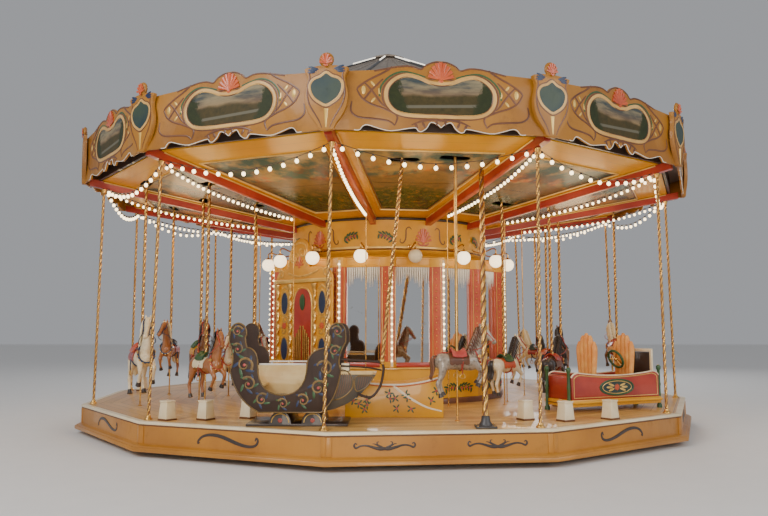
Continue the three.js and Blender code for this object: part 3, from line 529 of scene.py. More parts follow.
def extruded(points, way, round_by, chosen):
    """A face drawn out one way, with the chosen edges rounded."""
    bm = bmesh.new()
    face = bm.faces.new([bm.verts.new(point) for point in points])
    drawn = bmesh.ops.extrude_face_region(bm, geom=[face])["geom"]
    bmesh.ops.translate(bm, vec=way, verts=[item for item in drawn if isinstance(item, bmesh.types.BMVert)])
    bmesh.ops.recalc_face_normals(bm, faces=bm.faces)
    if round_by:
        bevel_edges(bm, [edge for edge in bm.edges if chosen(*edge.verts)], round_by)
    return scratch(bm)


def board(outline, depth, round_by=0.0):
    """A flat board from a side view of x and z points, with its back at y = 0 and its face at -depth."""
    return extruded([(x, 0.0, z) for x, z in outline], (0.0, -depth, 0.0), round_by,
                    lambda a, b: max(a.co.y, b.co.y) < -depth / 2)


def pillar(section, low, high, round_by):
    """A post from a cross-section of x and y points, with its upright edges rounded."""
    return extruded([(x, y, low) for x, y in section], (0, 0, high - low), round_by,
                    lambda a, b: abs(a.co.z - b.co.z) > 0.01)


print("blocks, balls, rings, boards and posts ready")

# %% Curves, tubes and carved lines
def curved(points, steps=5, closed=False):
    """A smooth run of points through the given ones."""
    points = [Vector(point) for point in points]
    count, run = len(points), []
    for i in range(count if closed else count - 1):
        a, b, c, d = [points[j % count if closed else min(max(j, 0), count - 1)] for j in range(i - 1, i + 3)]
        for t in [step / steps for step in range(steps)]:
            square, cube = 2 * a - 5 * b + 4 * c - d, 3 * b - a - 3 * c + d
            run.append(0.5 * (2 * b + (c - a) * t + square * t * t + cube * t ** 3))
    return [tuple(point) for point in (run if closed else run + points[-1:])]


def tube(points, radius, thin=None, closed=False, steps=4, roundness=1):
    """A round tube along a smooth run of points; thin gives each point's share of the radius."""
    route = bpy.data.curves.new("route", "CURVE")
    route.dimensions, route.bevel_depth, route.bevel_resolution = "3D", radius, roundness
    route.use_fill_caps = not closed
    run = [(*point, share) for point, share in zip(points, thin or [1.0] * len(points))]
    run = curved(run, steps, closed) if steps > 1 else run
    spline = route.splines.new("POLY")
    spline.points.add(len(run) - 1)
    for point, (x, y, z, share) in zip(spline.points, run):
        point.co, point.radius = (x, y, z, 1.0), max(share, 0.02)
    spline.use_cyclic_u = closed
    carrier = bpy.data.objects.new("route", route)
    mesh = bpy.data.meshes.new_from_object(carrier)
    bpy.data.objects.remove(carrier)
    bpy.data.curves.remove(route)
    return mesh


def bar(points, radius, closed=False, roundness=1):
    """A tube that runs straight from point to point."""
    return tube(points, radius, None, closed, 1, roundness)


def relief(points, radius, thin=None, closed=False, flat=0.55, steps=3):
    """A carved line on a board that faces -Y, from x and z points, flattened against the board."""
    line = tube([(x, 0.0, z) for x, z in points], radius, thin, closed, steps)
    return moved(line, Matrix.Diagonal((1.0, flat, 1.0, 1.0)))


def frame_line(points, radius, flat=0.55, steps=3):
    return relief(points, radius, None, True, flat, steps)


def oval(x, z, across, up, count):
    """Points round an oval."""
    return [(x + across * cos(tau * k / count), z + up * sin(tau * k / count)) for k in range(count)]


print("tubes and carved lines ready")

# %% Barley twists
def screwed(bm, length, pitch):
    """Turns the loops of a bmesh about the upright line while it raises them, and closes their ends."""
    steps = max(2, round(length / 0.02))
    bmesh.ops.spin(bm, geom=bm.verts[:] + bm.edges[:], cent=(0, 0, 0), axis=(0, 0, 1), angle=length / pitch * pi,
                   steps=steps, dvec=(0, 0, length / steps), use_merge=False)
    bmesh.ops.holes_fill(bm, edges=[edge for edge in bm.edges if edge.is_boundary], sides=0)
    bmesh.ops.recalc_face_normals(bm, faces=bm.faces)
    return scratch(bm)


def twist(length, radius, pitch=0.10, around=10):
    """A barley-twist rod that stands on the origin, from a round with two lobes."""
    bm = bmesh.new()
    for vert in bmesh.ops.create_circle(bm, cap_ends=False, radius=1.0, segments=around)["verts"]:
        vert.co *= radius * (0.78 + 0.22 * cos(2 * atan2(vert.co.y, vert.co.x)))
    return screwed(bm, length, pitch)


def groove_shade(length, radius, pitch=0.10):
    """Dark strands in both grooves of a barley twist: painted shade where the grooves lie dark."""
    bm = bmesh.new()
    for side in BOTH:
        bmesh.ops.create_circle(bm, cap_ends=False, radius=radius * 0.31, segments=4,
                                matrix=shift(0, side * radius * 0.57))
    return screwed(bm, length, pitch)


def between(low, high, length):
    """The matrix that carries an upright rod of a length to lie from one point to another."""
    low, way = Vector(low), Vector(high) - Vector(low)
    turn = way.to_track_quat("Z", "Y").to_matrix().to_4x4()
    return Matrix.Translation(low) @ turn @ Matrix.Diagonal((1.0, 1.0, way.length / length, 1.0))


print("barley twists ready")

# %% Lofts, melted skins and copies of CAD nodes
def loft(stations, sides=14, steps=3):
    """A body through rings: each station is x, y, z, half width across, half depth."""
    run = curved(stations, steps) if steps > 1 else stations
    bm = bmesh.new()
    loops = []
    for i, (x, y, z, across, deep) in enumerate(run):
        before, after = run[max(i - 1, 0)], run[min(i + 1, len(run) - 1)]
        way = Vector(after[:3]) - Vector(before[:3])
        up = way.cross(Vector((0.0, 1.0, 0.0))).normalized()
        side = up.cross(way).normalized()
        basis = Matrix((side * across, up * deep, way.normalized())).transposed().to_4x4()
        verts = bmesh.ops.create_circle(bm, cap_ends=i in (0, len(run) - 1), radius=1.0, segments=sides,
                                        matrix=shift(x, y, z) @ basis)["verts"]
        loops.append(list({edge for vert in verts for edge in vert.link_edges}))
    for first, second in zip(loops, loops[1:]):
        bmesh.ops.bridge_loops(bm, edges=first + second)
    bmesh.ops.recalc_face_normals(bm, faces=bm.faces)
    return scratch(bm)


def evaluated(carrier):
    """The mesh of an object with its modifiers applied."""
    return bpy.data.meshes.new_from_object(carrier.evaluated_get(bpy.context.evaluated_depsgraph_get()))


def fused(shapes, voxel, smoothing, share=1.0):
    """Melts closed shapes into one skin: a voxel remesh, smoothing, and thinning to a share of the faces."""
    carrier = placed("fused", joined(shapes))
    remesh = carrier.modifiers.new("skin", "REMESH")
    remesh.mode, remesh.voxel_size = "VOXEL", voxel
    smooth = carrier.modifiers.new("smooth", "SMOOTH")
    smooth.factor, smooth.iterations = 0.5, smoothing
    carrier.modifiers.new("thinner", "DECIMATE").ratio = share
    skin = evaluated(carrier)
    bpy.data.objects.remove(carrier)
    return skin


def merged_node(node, width, segments=2, sharp=30.0):
    """A copy of a CAD node's mesh with its loose triangles merged and its sharp edges rounded."""
    bm = bmesh.new()
    bm.from_mesh(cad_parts[node].data)
    bmesh.ops.remove_doubles(bm, verts=bm.verts, dist=1e-5)
    bmesh.ops.dissolve_limit(bm, angle_limit=radians(2.0), verts=bm.verts, edges=bm.edges)
    edges = [e for e in bm.edges if len(e.link_faces) == 2 and e.calc_face_angle(0) > radians(sharp)]
    bevel_edges(bm, edges, width, segments)
    return scratch(bm)


print("lofts, skins and copies of nodes ready")

# %% Shells, curls, leaves and flowers
def fan(width, height, ribs, thick):
    """A shell of ribs that spread from its foot, on a board that faces -Y."""
    shapes = []
    for k in range(ribs):
        lean = (k / (ribs - 1) - 0.5) * radians(150)
        x, z = sin(lean) * width * 0.5, cos(lean) * height * (0.78 + 0.22 * cos(lean))
        shapes.append(relief([(0.0, 0.0), (x * 0.55, z * 0.5), (x, z)], thick, [0.35, 0.8, 1.15]))
    return joined(shapes + [relief([(-0.02, -0.01), (0.0, -0.025), (0.02, -0.01)], thick * 0.9, steps=2)])


def volute(x, z, radius, start, sweep, turns_in=0.25, points=9):
    """Points of a curl that starts on a circle and winds inwards."""
    shares = [k / (points - 1) for k in range(points)]
    return [(x + radius * (1 - (1 - turns_in) * t) * cos(start + sweep * t),
             z + radius * (1 - (1 - turns_in) * t) * sin(start + sweep * t)) for t in shares]


def petal(length, width):
    return ball(0.5, 6, 5, (width, width * 0.35, length))


def leaf(length, width, x, z, lean):
    """One leaf or petal on a board, with its middle at x and z, tipped by degrees."""
    return moved(petal(length, width), shift(x, 0, z) @ tip(lean))


def rosette(radius, petals=6):
    """A small flower: petals round a middle button, on a board that faces -Y."""
    leaves = [moved(petal(radius, radius * 0.62), tip(360 * k / petals) @ shift(z=radius * 0.52))
              for k in range(petals)]
    return joined(leaves + [ball(radius * 0.3, 8, 6, (1.0, 0.7, 1.0))])


def bead_row(start, end, spacing):
    """Places along a straight run, one for each bulb or stud."""
    start, end = Vector(start), Vector(end)
    count = max(1, round((end - start).length / spacing))
    return [Matrix.Translation(start.lerp(end, (k + 0.5) / count)) for k in range(count)]


STUD = ball(0.011, 6, 4)
print("carving helpers ready")

# %% Finishes of the CAD nodes that stay
for node, finish in {
    "ground_frame": STEEL, "centre_mast": STEEL, "turning_hub": STEEL, "roof": SHEET, "roof_cap": SHEET,
    # the rim ring gets the near-black paint as painted shade, for the dark gap between the ceiling's edge and the
    # crown
    "ceiling": CEILING, "rim_ring": DARK, "sweeps": RED, "drum_base": MUSTARD, "drum_mirrors": MIRROR,
}.items():
    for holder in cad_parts[node].material_slots:
        holder.material = finish
    print(node, "gets", finish.name)

# %% [markdown]
# ## The horses
# The carved horses share one pattern, as a carver's own would. Lofts through rings make the trunk, neck,
# head and legs, and a voxel remesh melts them into one skin, so that no seam shows where a leg joins.
# Hooves, mane, tail and harness are added to it, and then the whole is copied to each place, in that
# horse's size and colours.

# %% Horse skin
TRUNK = [
    (-0.285, 0, 0.440, 0.026, 0.030), (-0.262, 0, 0.434, 0.070, 0.076), (-0.215, 0, 0.430, 0.100, 0.099),
    (-0.145, 0, 0.424, 0.108, 0.102), (-0.060, 0, 0.420, 0.102, 0.093), (0.030, 0, 0.417, 0.108, 0.097),
    (0.110, 0, 0.420, 0.112, 0.106), (0.180, 0, 0.428, 0.104, 0.113), (0.235, 0, 0.448, 0.084, 0.104),
    (0.275, 0, 0.470, 0.056, 0.078), (0.294, 0, 0.482, 0.024, 0.036),
]
NECK = [
    (0.180, 0, 0.450, 0.072, 0.105), (0.226, 0, 0.515, 0.064, 0.098), (0.262, 0, 0.600, 0.050, 0.082),
    (0.286, -0.002, 0.680, 0.042, 0.066), (0.303, -0.004, 0.750, 0.036, 0.054), (0.318, -0.005, 0.805, 0.028, 0.040),
]
HEAD = [
    (0.284, 0, 0.818, 0.022, 0.028), (0.305, -0.003, 0.815, 0.034, 0.046), (0.340, -0.012, 0.800, 0.037, 0.056),
    (0.375, -0.022, 0.768, 0.034, 0.052), (0.408, -0.034, 0.728, 0.028, 0.040), (0.438, -0.045, 0.692, 0.025, 0.032),
    (0.462, -0.055, 0.662, 0.027, 0.032), (0.480, -0.062, 0.640, 0.020, 0.020),
]
FORELEG_HIGH = [
    (0.195, 0.050, 0.440, 0.048, 0.070), (0.240, 0.060, 0.388, 0.040, 0.050), (0.296, 0.068, 0.344, 0.030, 0.034),
    (0.330, 0.070, 0.314, 0.028, 0.030), (0.322, 0.071, 0.266, 0.019, 0.022), (0.300, 0.072, 0.222, 0.018, 0.019),
    (0.272, 0.072, 0.170, 0.020, 0.022),
]
FORELEG_LOW = [
    (0.190, -0.050, 0.440, 0.048, 0.070), (0.236, -0.060, 0.378, 0.040, 0.050), (0.288, -0.068, 0.324, 0.030, 0.034),
    (0.319, -0.070, 0.292, 0.028, 0.030), (0.306, -0.071, 0.242, 0.019, 0.022), (0.276, -0.072, 0.194, 0.018, 0.019),
    (0.246, -0.072, 0.144, 0.020, 0.022),
]
HINDLEG_NEAR = [
    (-0.180, -0.050, 0.430, 0.058, 0.092), (-0.192, -0.062, 0.368, 0.050, 0.068),
    (-0.206, -0.068, 0.312, 0.038, 0.050), (-0.224, -0.070, 0.256, 0.028, 0.035),
    (-0.252, -0.071, 0.196, 0.023, 0.028), (-0.266, -0.071, 0.158, 0.024, 0.031),
    (-0.254, -0.072, 0.106, 0.018, 0.021), (-0.232, -0.072, 0.032, 0.020, 0.022),
]
HINDLEG_FAR = [
    (-0.165, 0.050, 0.430, 0.058, 0.092), (-0.160, 0.062, 0.362, 0.048, 0.064), (-0.154, 0.068, 0.306, 0.037, 0.046),
    (-0.164, 0.070, 0.256, 0.028, 0.035), (-0.190, 0.071, 0.200, 0.023, 0.028), (-0.202, 0.071, 0.162, 0.024, 0.030),
    (-0.184, 0.072, 0.112, 0.018, 0.021), (-0.160, 0.072, 0.038, 0.020, 0.022),
]
HOOF_ENDS = [
    ((0.282, 0.072, 0.190), (0.264, 0.072, 0.150)), ((0.256, -0.072, 0.164), (0.236, -0.072, 0.124)),
    ((-0.238, -0.072, 0.050), (-0.224, -0.072, 0.003)), ((-0.166, 0.072, 0.058), (-0.152, 0.072, 0.013)),
]


def horse_skin():
    """Trunk, neck, head, legs, ears, cheeks and nostrils in one skin."""
    shapes = [loft(TRUNK, 20), loft(NECK, 16), loft(HEAD)]
    shapes += [loft(leg, 12) for leg in (FORELEG_HIGH, FORELEG_LOW, HINDLEG_NEAR, HINDLEG_FAR)]
    for side in BOTH:
        shapes += [
            loft([(0.298, side * 0.020, 0.828, 0.014, 0.012), (0.300, side * 0.025, 0.862, 0.016, 0.010),
                  (0.308, side * 0.026, 0.900, 0.004, 0.004)], 10),
            moved(ball(0.040, 14, 10, (1.0, 0.45, 1.0)), shift(0.338, -0.012 + side * 0.022, 0.778)),
            moved(ball(0.013, 10, 8, (1.2, 0.7, 1.0)), shift(0.468, -0.058 + side * 0.024, 0.662)),
        ]
    return fused(shapes, 0.0085, 5, 0.35)


def hoof(top, foot):
    middle = Vector(top).lerp(Vector(foot), 0.3)
    return loft([(*top, 0.021, 0.024), (*middle, 0.023, 0.027), (*foot, 0.030, 0.036)], 12, 1)


HORSE_SKIN = horse_skin()
HOOVES = joined([hoof(*ends) for ends in HOOF_ENDS])
print("horse skin", len(HORSE_SKIN.polygons), "faces")

# %% Mane, tail and eyes
def lock(width, *points):
    """One lock of carved hair, thick at its root and pointed at its tip."""
    return tube(points, width, [0.7, 1.0, 0.8, 0.15], steps=2)


def horse_hair():
    shapes = []
    for k in range(11):
        x, z, sway = 0.178 + 0.0112 * k, 0.590 + 0.0255 * k, 0.012 * sin(k * 2.1)
        for side in BOTH:
            shapes.append(lock(
                0.014, (x, 0.0, z), (x - 0.030, side * 0.034, z - 0.016),
                (x - 0.022 + sway, side * 0.060, z - 0.07), (x + 0.012 + sway, side * 0.066, z - 0.135)))
    for k in (-1, 0, 1):
        shapes.append(lock(
            0.011, (0.298, 0.0, 0.856), (0.330, -0.008 + 0.012 * k, 0.856),
            (0.352, -0.014 + 0.020 * k, 0.826), (0.366, -0.018 + 0.024 * k, 0.785)))
    for k in range(7):
        lean, back = (k - 3) * 0.007, 0.010 * sin(k * 1.7)
        shapes.append(tube([
            (-0.258, lean * 0.4, 0.492), (-0.300, lean, 0.486), (-0.318 + back, lean * 1.6, 0.420),
            (-0.308 + back, lean * 2.2, 0.330), (-0.330 - back, lean * 2.0, 0.245),
            (-0.322 - back, lean * 1.2, 0.190 + 0.008 * abs(k - 3)),
        ], 0.014, [0.7, 1.0, 1.05, 0.9, 0.7, 0.15], steps=3))
    return joined(shapes)


HORSE_HAIR = horse_hair()
HORSE_EYES = joined([
    moved(ball(*form), shift(x, y + side * apart, z)) for side in BOTH for form, x, y, apart, z in (
        ((0.0115, 10, 8, (1.2, 0.6, 0.9)), 0.350, -0.015, 0.0375, 0.802), ((0.005, 8, 6), 0.473, -0.060, 0.031, 0.664))
])
print("hair", len(HORSE_HAIR.polygons), "faces")

# %% [markdown]
# ## Harness
# A saddle and its cloth bend round the barrel of the horse. A flat grid is bent over it, with its lower
# edge cut in scallops, and is then given a thickness. Straps are rings that follow the same rounds.

# %% Saddle, cloth and straps
def wrapped(x0, x1, span, half_width, half_depth, thick, scallops=0, rise=0.0, middle=0.42):
    """A sheet bent over the back, from one flank to the other."""
    bm = bmesh.new()
    bmesh.ops.create_grid(bm, x_segments=12, y_segments=16, size=0.5)
    for vert in bm.verts:
        u = vert.co.x + 0.5
        drop = 1 + (0.10 * abs(sin(u * pi * scallops)) if scallops else 0.06 * sin(u * pi))
        angle = vert.co.y * 2 * span * drop
        lift = rise * (2 * u - 1) ** 2 * max(0.0, cos(angle)) ** 2
        vert.co = x0 + (x1 - x0) * u, half_width * sin(angle), middle + (half_depth + lift) * cos(angle)
    bmesh.ops.recalc_face_normals(bm, faces=bm.faces)
    bmesh.ops.solidify(bm, geom=bm.faces[:], thickness=-thick)
    bmesh.ops.recalc_face_normals(bm, faces=bm.faces)
    return scratch(bm)


def strap(x, y, z, across, deep, lean, width=0.011):
    """A strap round the body at a centre, leaning along the horse."""
    turns = [tau * k / 16 for k in range(16)]
    return bar([(x + lean * cos(a), y + across * sin(a), z + deep * cos(a)) for a in turns], width, True)


HARNESS = joined([
    strap(0.040, 0, 0.418, 0.113, 0.103, 0.0), strap(0.252, 0, 0.470, 0.088, 0.100, -0.045),
    strap(0.352, -0.015, 0.792, 0.0445, 0.060, -0.035, 0.007),
    strap(0.436, -0.045, 0.694, 0.032, 0.038, -0.026, 0.006),
    tube([(0.452, -0.085, 0.690), (0.375, -0.098, 0.640), (0.270, -0.088, 0.585), (0.120, -0.035, 0.555)], 0.005),
    tube([(0.452, -0.028, 0.690), (0.375, 0.062, 0.640), (0.270, 0.085, 0.585), (0.120, 0.035, 0.555)], 0.005),
    tube([(0.436, -0.078, 0.700), (0.396, -0.066, 0.745), (0.345, -0.056, 0.800)], 0.006),
    tube([(0.436, -0.012, 0.700), (0.396, 0.000, 0.745), (0.345, 0.026, 0.800)], 0.006),
    tube([(-0.110, 0, 0.530), (-0.190, 0, 0.534), (-0.262, 0, 0.500)], 0.009),
    tube([(0.020, -0.118, 0.400), (0.030, -0.124, 0.330), (0.030, -0.122, 0.280)], 0.007),
    tube([(0.020, 0.118, 0.400), (0.030, 0.124, 0.330), (0.030, 0.122, 0.280)], 0.007),
])


def harness_trim():
    """Studs on the breast strap, rosettes at its sides, and the two stirrups."""
    shapes = []
    for angle in [pi * (0.45 + 1.1 * k / 8) for k in range(9)]:
        spot = shift(0.252 - 0.045 * cos(angle), 0.097 * sin(angle), 0.470 + 0.110 * cos(angle))
        shapes.append(moved(STUD.copy(), spot))
    for side in BOTH:
        flower = shift(0.262, side * 0.092, 0.490) @ tip(0 if side < 0 else 180, "Z")
        stirrup = [(0.030, 0.285), (0.058, 0.262), (0.056, 0.232), (0.004, 0.232), (0.002, 0.262)]
        shapes += [moved(rosette(0.026), flower),
                   tube([(x, side * 0.122, z) for x, z in stirrup], 0.006, None, True, 3)]
    return joined(shapes)


SADDLE_CLOTH = wrapped(-0.125, 0.125, 1.75, 0.115, 0.106, 0.006, 4)
SADDLE = wrapped(-0.085, 0.095, 1.02, 0.121, 0.118, 0.016, 0, 0.045)
HARNESS_TRIM = harness_trim()
print("harness", len(HARNESS.polygons) + len(SADDLE.polygons) + len(SADDLE_CLOTH.polygons), "faces")

# %% [markdown]
# ## The horses in their places
# Carousel horses are painted in thick gloss, with dapples. The coat drifts from one tone to another over the body, and
# soft cells make the dapples.

# %% Coats and places
def coat(name, main, second, dapple=0.15):
    f = Finish(name)
    cells = f.fade(f.cells(26.0), 0.25, 0.6)
    worn = f.fade(f.noise(14.0, 6.0, None, 0.7), 0.6, 0.78)
    colour = f.mix(f.fade(f.noise(3.5, 3.0), 0.3, 0.7), main, second)
    colour = f.mix(cells * dapple, colour, tuple(min(1.0, 1.7 * part + 0.02) for part in main))
    return f.look(Base_Color=f.mix(worn * 0.45, colour, shade(second, 0.35)), Roughness=0.24 + worn * 0.25,
                  Coat_Weight=0.4, Normal=f.bump(f.noise(60.0, 3.0) * 0.4 + worn, 0.0015))


GREY = coat("coat_grey", (0.30, 0.24, 0.18), (0.17, 0.125, 0.09), 0.35)
PALE = coat("coat_cream", (0.78, 0.64, 0.42), (0.66, 0.50, 0.29))
BLACK = coat("coat_black", (0.045, 0.035, 0.030), (0.025, 0.020, 0.018), 0.2)
BROWN_COAT = coat("coat_brown", (0.19, 0.075, 0.028), (0.10, 0.038, 0.016))
CHESTNUT = coat("coat_chestnut", (0.36, 0.14, 0.045), (0.24, 0.08, 0.026))
FLOOR_TOP = 0.42
HIGH, LOW = FLOOR_TOP + 0.29, FLOOR_TOP + 0.15
POLE_RADIUS = 0.0245
HORSES = [
    # radius, degrees, hoof height at rest, size, coat, mane, saddle, cloth
    (3.93, 12.4, HIGH, 1.0, GREY, BROWN, ROSE, BROWN), (2.55, 42.5, LOW, 1.0, PALE, DARK, GREEN, ORANGE_RED),
    (2.95, 58.0, LOW, 1.0, BLACK, DARK, RED, BROWN), (2.95, 84.0, HIGH, 1.0, BROWN_COAT, DARK, TEAL, MUSTARD),
    (4.15, -60.5, LOW, 1.3, PALE, CREAM, ORANGE_RED, RED), (3.25, -63.0, HIGH, 1.1, BROWN_COAT, DARK, GREEN, MUSTARD),
    (3.75, -88.0, HIGH, 1.1, CHESTNUT, CREAM, BLUE, RED), (2.60, -52.0, LOW, 1.0, GREY, DARK, RED, TEAL),
    (3.60, -45.0, LOW, 1.1, CHESTNUT, DARK, GREEN, CREAM), (2.70, -80.0, LOW, 1.0, PALE, BROWN, BLUE, ORANGE_RED),
    (4.05, 93.0, HIGH, 1.1, BROWN_COAT, CREAM, RED, MUSTARD), (3.20, 110.0, LOW, 1.0, GREY, DARK, ORANGE_RED, BLUE),
    (4.05, 130.0, LOW, 1.1, PALE, CREAM, TEAL, RED), (3.60, 157.0, HIGH, 1.1, BLACK, DARK, MUSTARD, GREEN),
    (3.60, 190.0, LOW, 1.1, CHESTNUT, DARK, BLUE, CREAM), (3.70, 222.0, HIGH, 1.1, PALE, BROWN, RED, BLUE),
]

for number, (radius, degrees, lift, size, hide, mane, seat, cloth) in enumerate(HORSES, 1):
    node, body = f"horse_{number:02d}", f"jumper_{number:02d}"
    stand = at(radians(degrees), 0.0, radius, lift) @ Matrix.Scale(size, 4)
    figure = Piece(f"carved_horse_{number:02d}")
    for shape, finish in ((HORSE_SKIN, hide), (HOOVES, DARK), (HORSE_HAIR, mane), (HORSE_EYES, DARK),
                          (SADDLE_CLOTH, cloth), (SADDLE, seat), (HARNESS, BLUE if cloth is RED else RED),
                          (HARNESS_TRIM, GILT)):
        figure.add(shape, finish, stand)
    figure.show("horse_paint", node, body=body, sharp=50.0)
    foot = at(radians(degrees), 0.0, radius, lift + 0.34 * size)
    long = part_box(node)[1].z - lift - 0.34 * size
    pole = Piece(f"horse_pole_{number:02d}")
    if number == 1:
        pole.add(spun([(0.0, 0.0), (POLE_RADIUS * 0.8, 0.0), (POLE_RADIUS * 0.8, long), (0.0, long)], 14), BRASS, foot)
    else:
        # the dark strands in the twist's grooves are painted shade
        pole.add(twist(long, POLE_RADIUS), BRASS, foot).add(groove_shade(long, POLE_RADIUS), BROWN, foot)
    pole.show("brass_pole", node, body=body, sharp=60.0)

# %% [markdown]
# ## The platform
# The deck is one ring with twelve sides, so a spin in twelve steps makes it. The skirt that hides the
# ground frame is a moulding of the same kind. Its outline is spun as well, which turns each corner
# exactly, and the painted scrolls are then laid on its faces.

# %% Deck and skirt
SKIRT_CORNER = 4.90
SKIRT_FACE = SKIRT_CORNER * cos(BAY / 2)

deck = Piece("platform_deck")
deck.add(sided_ring([(0.42, 0.36), (4.83, 0.36), (4.83, 0.4195), (4.828, 0.42), (0.42, 0.42)]), BOARDS)
deck.show("floor_wood", "platform_floor")

skirt = Piece("skirt_moulding")
skirt.add(sided_ring([
    (4.831, 0.07), (4.985, 0.07), (4.99, 0.075), (4.99, 0.112), (4.984, 0.120), (4.968, 0.124), (4.962, 0.134),
    (4.945, 0.141), (4.925, 0.143), (4.915, 0.150), (SKIRT_CORNER, 0.154), (SKIRT_CORNER, 0.366), (4.896, 0.369),
    (4.896, 0.380), (SKIRT_CORNER, 0.383), (4.831, 0.384),
]), OCHRE)
skirt.add(sided_ring([(4.8305, 0.3845), (4.904, 0.3845), (4.908, 0.389), (4.908, 0.414), (4.903, 0.4195),
                      (4.8305, 0.4195)]), CREAM)
# A thin brown ring in the groove under the cream nosing is painted shade: the dark shadow line under the floor's edge.
skirt.add(sided_ring([(4.897, 0.3695), (4.9012, 0.3695), (4.9012, 0.3795), (4.897, 0.3795)]), BROWN)
skirt.add([block((x - 0.028, -SKIRT_FACE - 0.007, 0.154), (x + 0.028, -SKIRT_FACE + 0.01, 0.368), 0.003)
           for x in (-1.235, 1.235)], OCHRE, SIDE_PLACES)
skirt.show("ochre_paint", "platform_skirt")

# %% Painted scrolls on the skirt
moustache = []
for side in BOTH:
    for line, radius, thin in (
        ([(0.0, -0.022), (0.05, -0.026), (0.12, -0.010), (0.20, 0.012), (0.265, 0.008), (0.315, -0.012),
          (0.335, 0.012), (0.322, 0.036), (0.300, 0.026)], 0.0125, [1.5, 1.6, 1.3, 0.9, 0.8, 1.0, 0.9, 0.7, 0.5]),
        ([(0.02, -0.012), (0.075, 0.018), (0.085, 0.044), (0.062, 0.050)], 0.010, [1.2, 0.9, 0.7, 0.4]),
        ([(0.045, -0.010), (0.105, 0.026), (0.135, 0.030)], 0.008, [1.0, 0.8, 0.3]),
    ):
        moustache.append(relief([(side * x, z) for x, z in line], radius, thin))
long_scroll = [
    (-0.375, 0.012), (-0.392, 0.046), (-0.412, 0.020), (-0.392, -0.026), (-0.330, -0.050), (-0.230, -0.046),
    (-0.110, -0.018), (0.010, 0.020), (0.130, 0.048), (0.250, 0.050), (0.340, 0.026), (0.395, -0.020),
    (0.402, -0.056), (0.378, -0.040),
]
swelling = [0.4, 0.8, 0.9, 1.0, 1.1, 1.25, 1.45, 1.5, 1.4, 1.2, 1.0, 0.9, 0.7, 0.4]

scrolls = Piece("skirt_scrolls")
for number, turn in enumerate(SIDE_TURNS):
    if number % 3 == 0:
        scrolls.add(moustache, DARK, [at(turn, side * 0.63, SKIRT_FACE + 0.001, 0.262) for side in BOTH])
    else:
        side = 1 if number < 6 else -1
        scrolls.add(relief([(side * x, z) for x, z in long_scroll], 0.016, swelling, flat=0.4), DARK,
                    at(turn, 0.0, SKIRT_FACE + 0.001, 0.262))
scrolls.show("dark_paint")

# %% [markdown]
# ## Steps, floor rods and hanging rods
# Children climb on by small tapered steps. A bored rod stands in the floor under each horse, and the
# horse's pole slides on it. Twisted brass rods hang the rim of the floor from the roof beams. A twist is
# a lobed round that is turned while it is raised, which is what a screw spin does.

# %% Steps and rods
def step_box():
    """A tapered box: a cube whose top is scaled in."""
    bm = bmesh.new()
    bmesh.ops.create_cube(bm, size=1.0, matrix=shift(z=0.114) @ Matrix.Diagonal((0.156, 0.156, 0.212, 1.0)))
    bmesh.ops.scale(bm, vec=(0.79, 0.79, 1.0), verts=[vert for vert in bm.verts if vert.co.z > 0.1])
    bevel_edges(bm, bm.edges[:], 0.004)
    return scratch(bm)


steps = Piece("child_steps")
step_places = [at(radians(degrees), 0.0, radius, FLOOR_TOP) for radius, degrees in (
    (4.08, 24.5), (4.40, 29.3), (4.57, 37.0), (3.25, 50.0), (4.64, -35.6), (4.35, -31.0), (3.96, -26.2),
    (4.53, 110.0), (4.50, 157.0), (4.53, 222.0), (4.50, 262.0),
)]
steps.add(step_box(), CREAM, step_places)
steps.add(block((-0.082, -0.082, 0.0), (0.082, 0.082, 0.022), 0.004), BROWN, step_places)
steps.add(block((-0.070, -0.070, 0.218), (0.070, 0.070, 0.240), 0.005), CREAM, step_places)
steps.show("floor_wood", "platform_floor")

rods = Piece("floor_rods")
rod = spun([(0.0, 0.0), (0.034, 0.0), (0.034, 0.006), (0.020, 0.011), (0.011, 0.014), (0.011, 0.86), (0.0, 0.86)], 12)
rods.add(rod, BRASS, [at(radians(row[1]), 0.0, row[0], FLOOR_TOP) for row in HORSES])
rods.show("floor_wood", "platform_floor")

ROD = 3.24
hanger = joined([
    twist(ROD, 0.0225),
    spun([(0.0, 0.0), (0.052, 0.0), (0.052, 0.010), (0.034, 0.022), (0.028, 0.050), (0.0, 0.052)], 16),
    spun([(0.0, ROD - 0.05), (0.028, ROD - 0.05), (0.034, ROD - 0.018), (0.042, ROD - 0.006), (0.042, ROD),
          (0.0, ROD)], 16),
])
for number, corner in enumerate(CORNER_PLACES, 1):
    spot = corner @ between((-0.06, -4.74, FLOOR_TOP + 0.0005), (0.0, -4.70, 3.6595), ROD)
    # the brown strands in the grooves of each rod are painted shade
    piece = Piece(f"twisted_rod_{number:02d}").add(hanger, BRASS, spot).add(groove_shade(ROD, 0.0225), BROWN, spot)
    piece.show("brass_pole", f"hanging_rod_{number:02d}", sharp=60.0)

# %% [markdown]
# ## Under the ceiling
# Yellow boards flank each red beam, and a gilt moulding frames each painted panel. The moulding is a thin
# tube round the panel's four corners. Strings of lamps hang below the beams and in a swag along each
# side. A lamp is repeated some hundreds of times, so it is a ball of few faces.

# %% Panel frames and beam linings
SLOPE = 0.175


def under_ceiling(radius):
    """Height of the ceiling's underside on a corner line."""
    return 3.78 + (radius - 4.735) * SLOPE


def panel_line(inset, far_inset, radius):
    """A thin tube round a panel's four corners, set in from its edges."""
    near, far = [out * tan(BAY / 2) - PANEL_MARGIN for out in (PANEL_NEAR, PANEL_FAR)]
    near, far, low, high = near - inset, far - far_inset, PANEL_NEAR + inset, PANEL_FAR - inset
    corners = [(-near, low), (near, low), (far, high), (-far, high)]
    return bar([(x, -out, under_ceiling(out / cos(BAY / 2)) - 0.004) for x, out in corners], radius, True)


frames = Piece("panel_frames")
frames.add(panel_line(0.0, 0.0, 0.016), GOLD_LINE, SIDE_PLACES)
frames.add(panel_line(0.03, 0.035, 0.006), BROWN, SIDE_PLACES)
frames.show("yellow_paint")

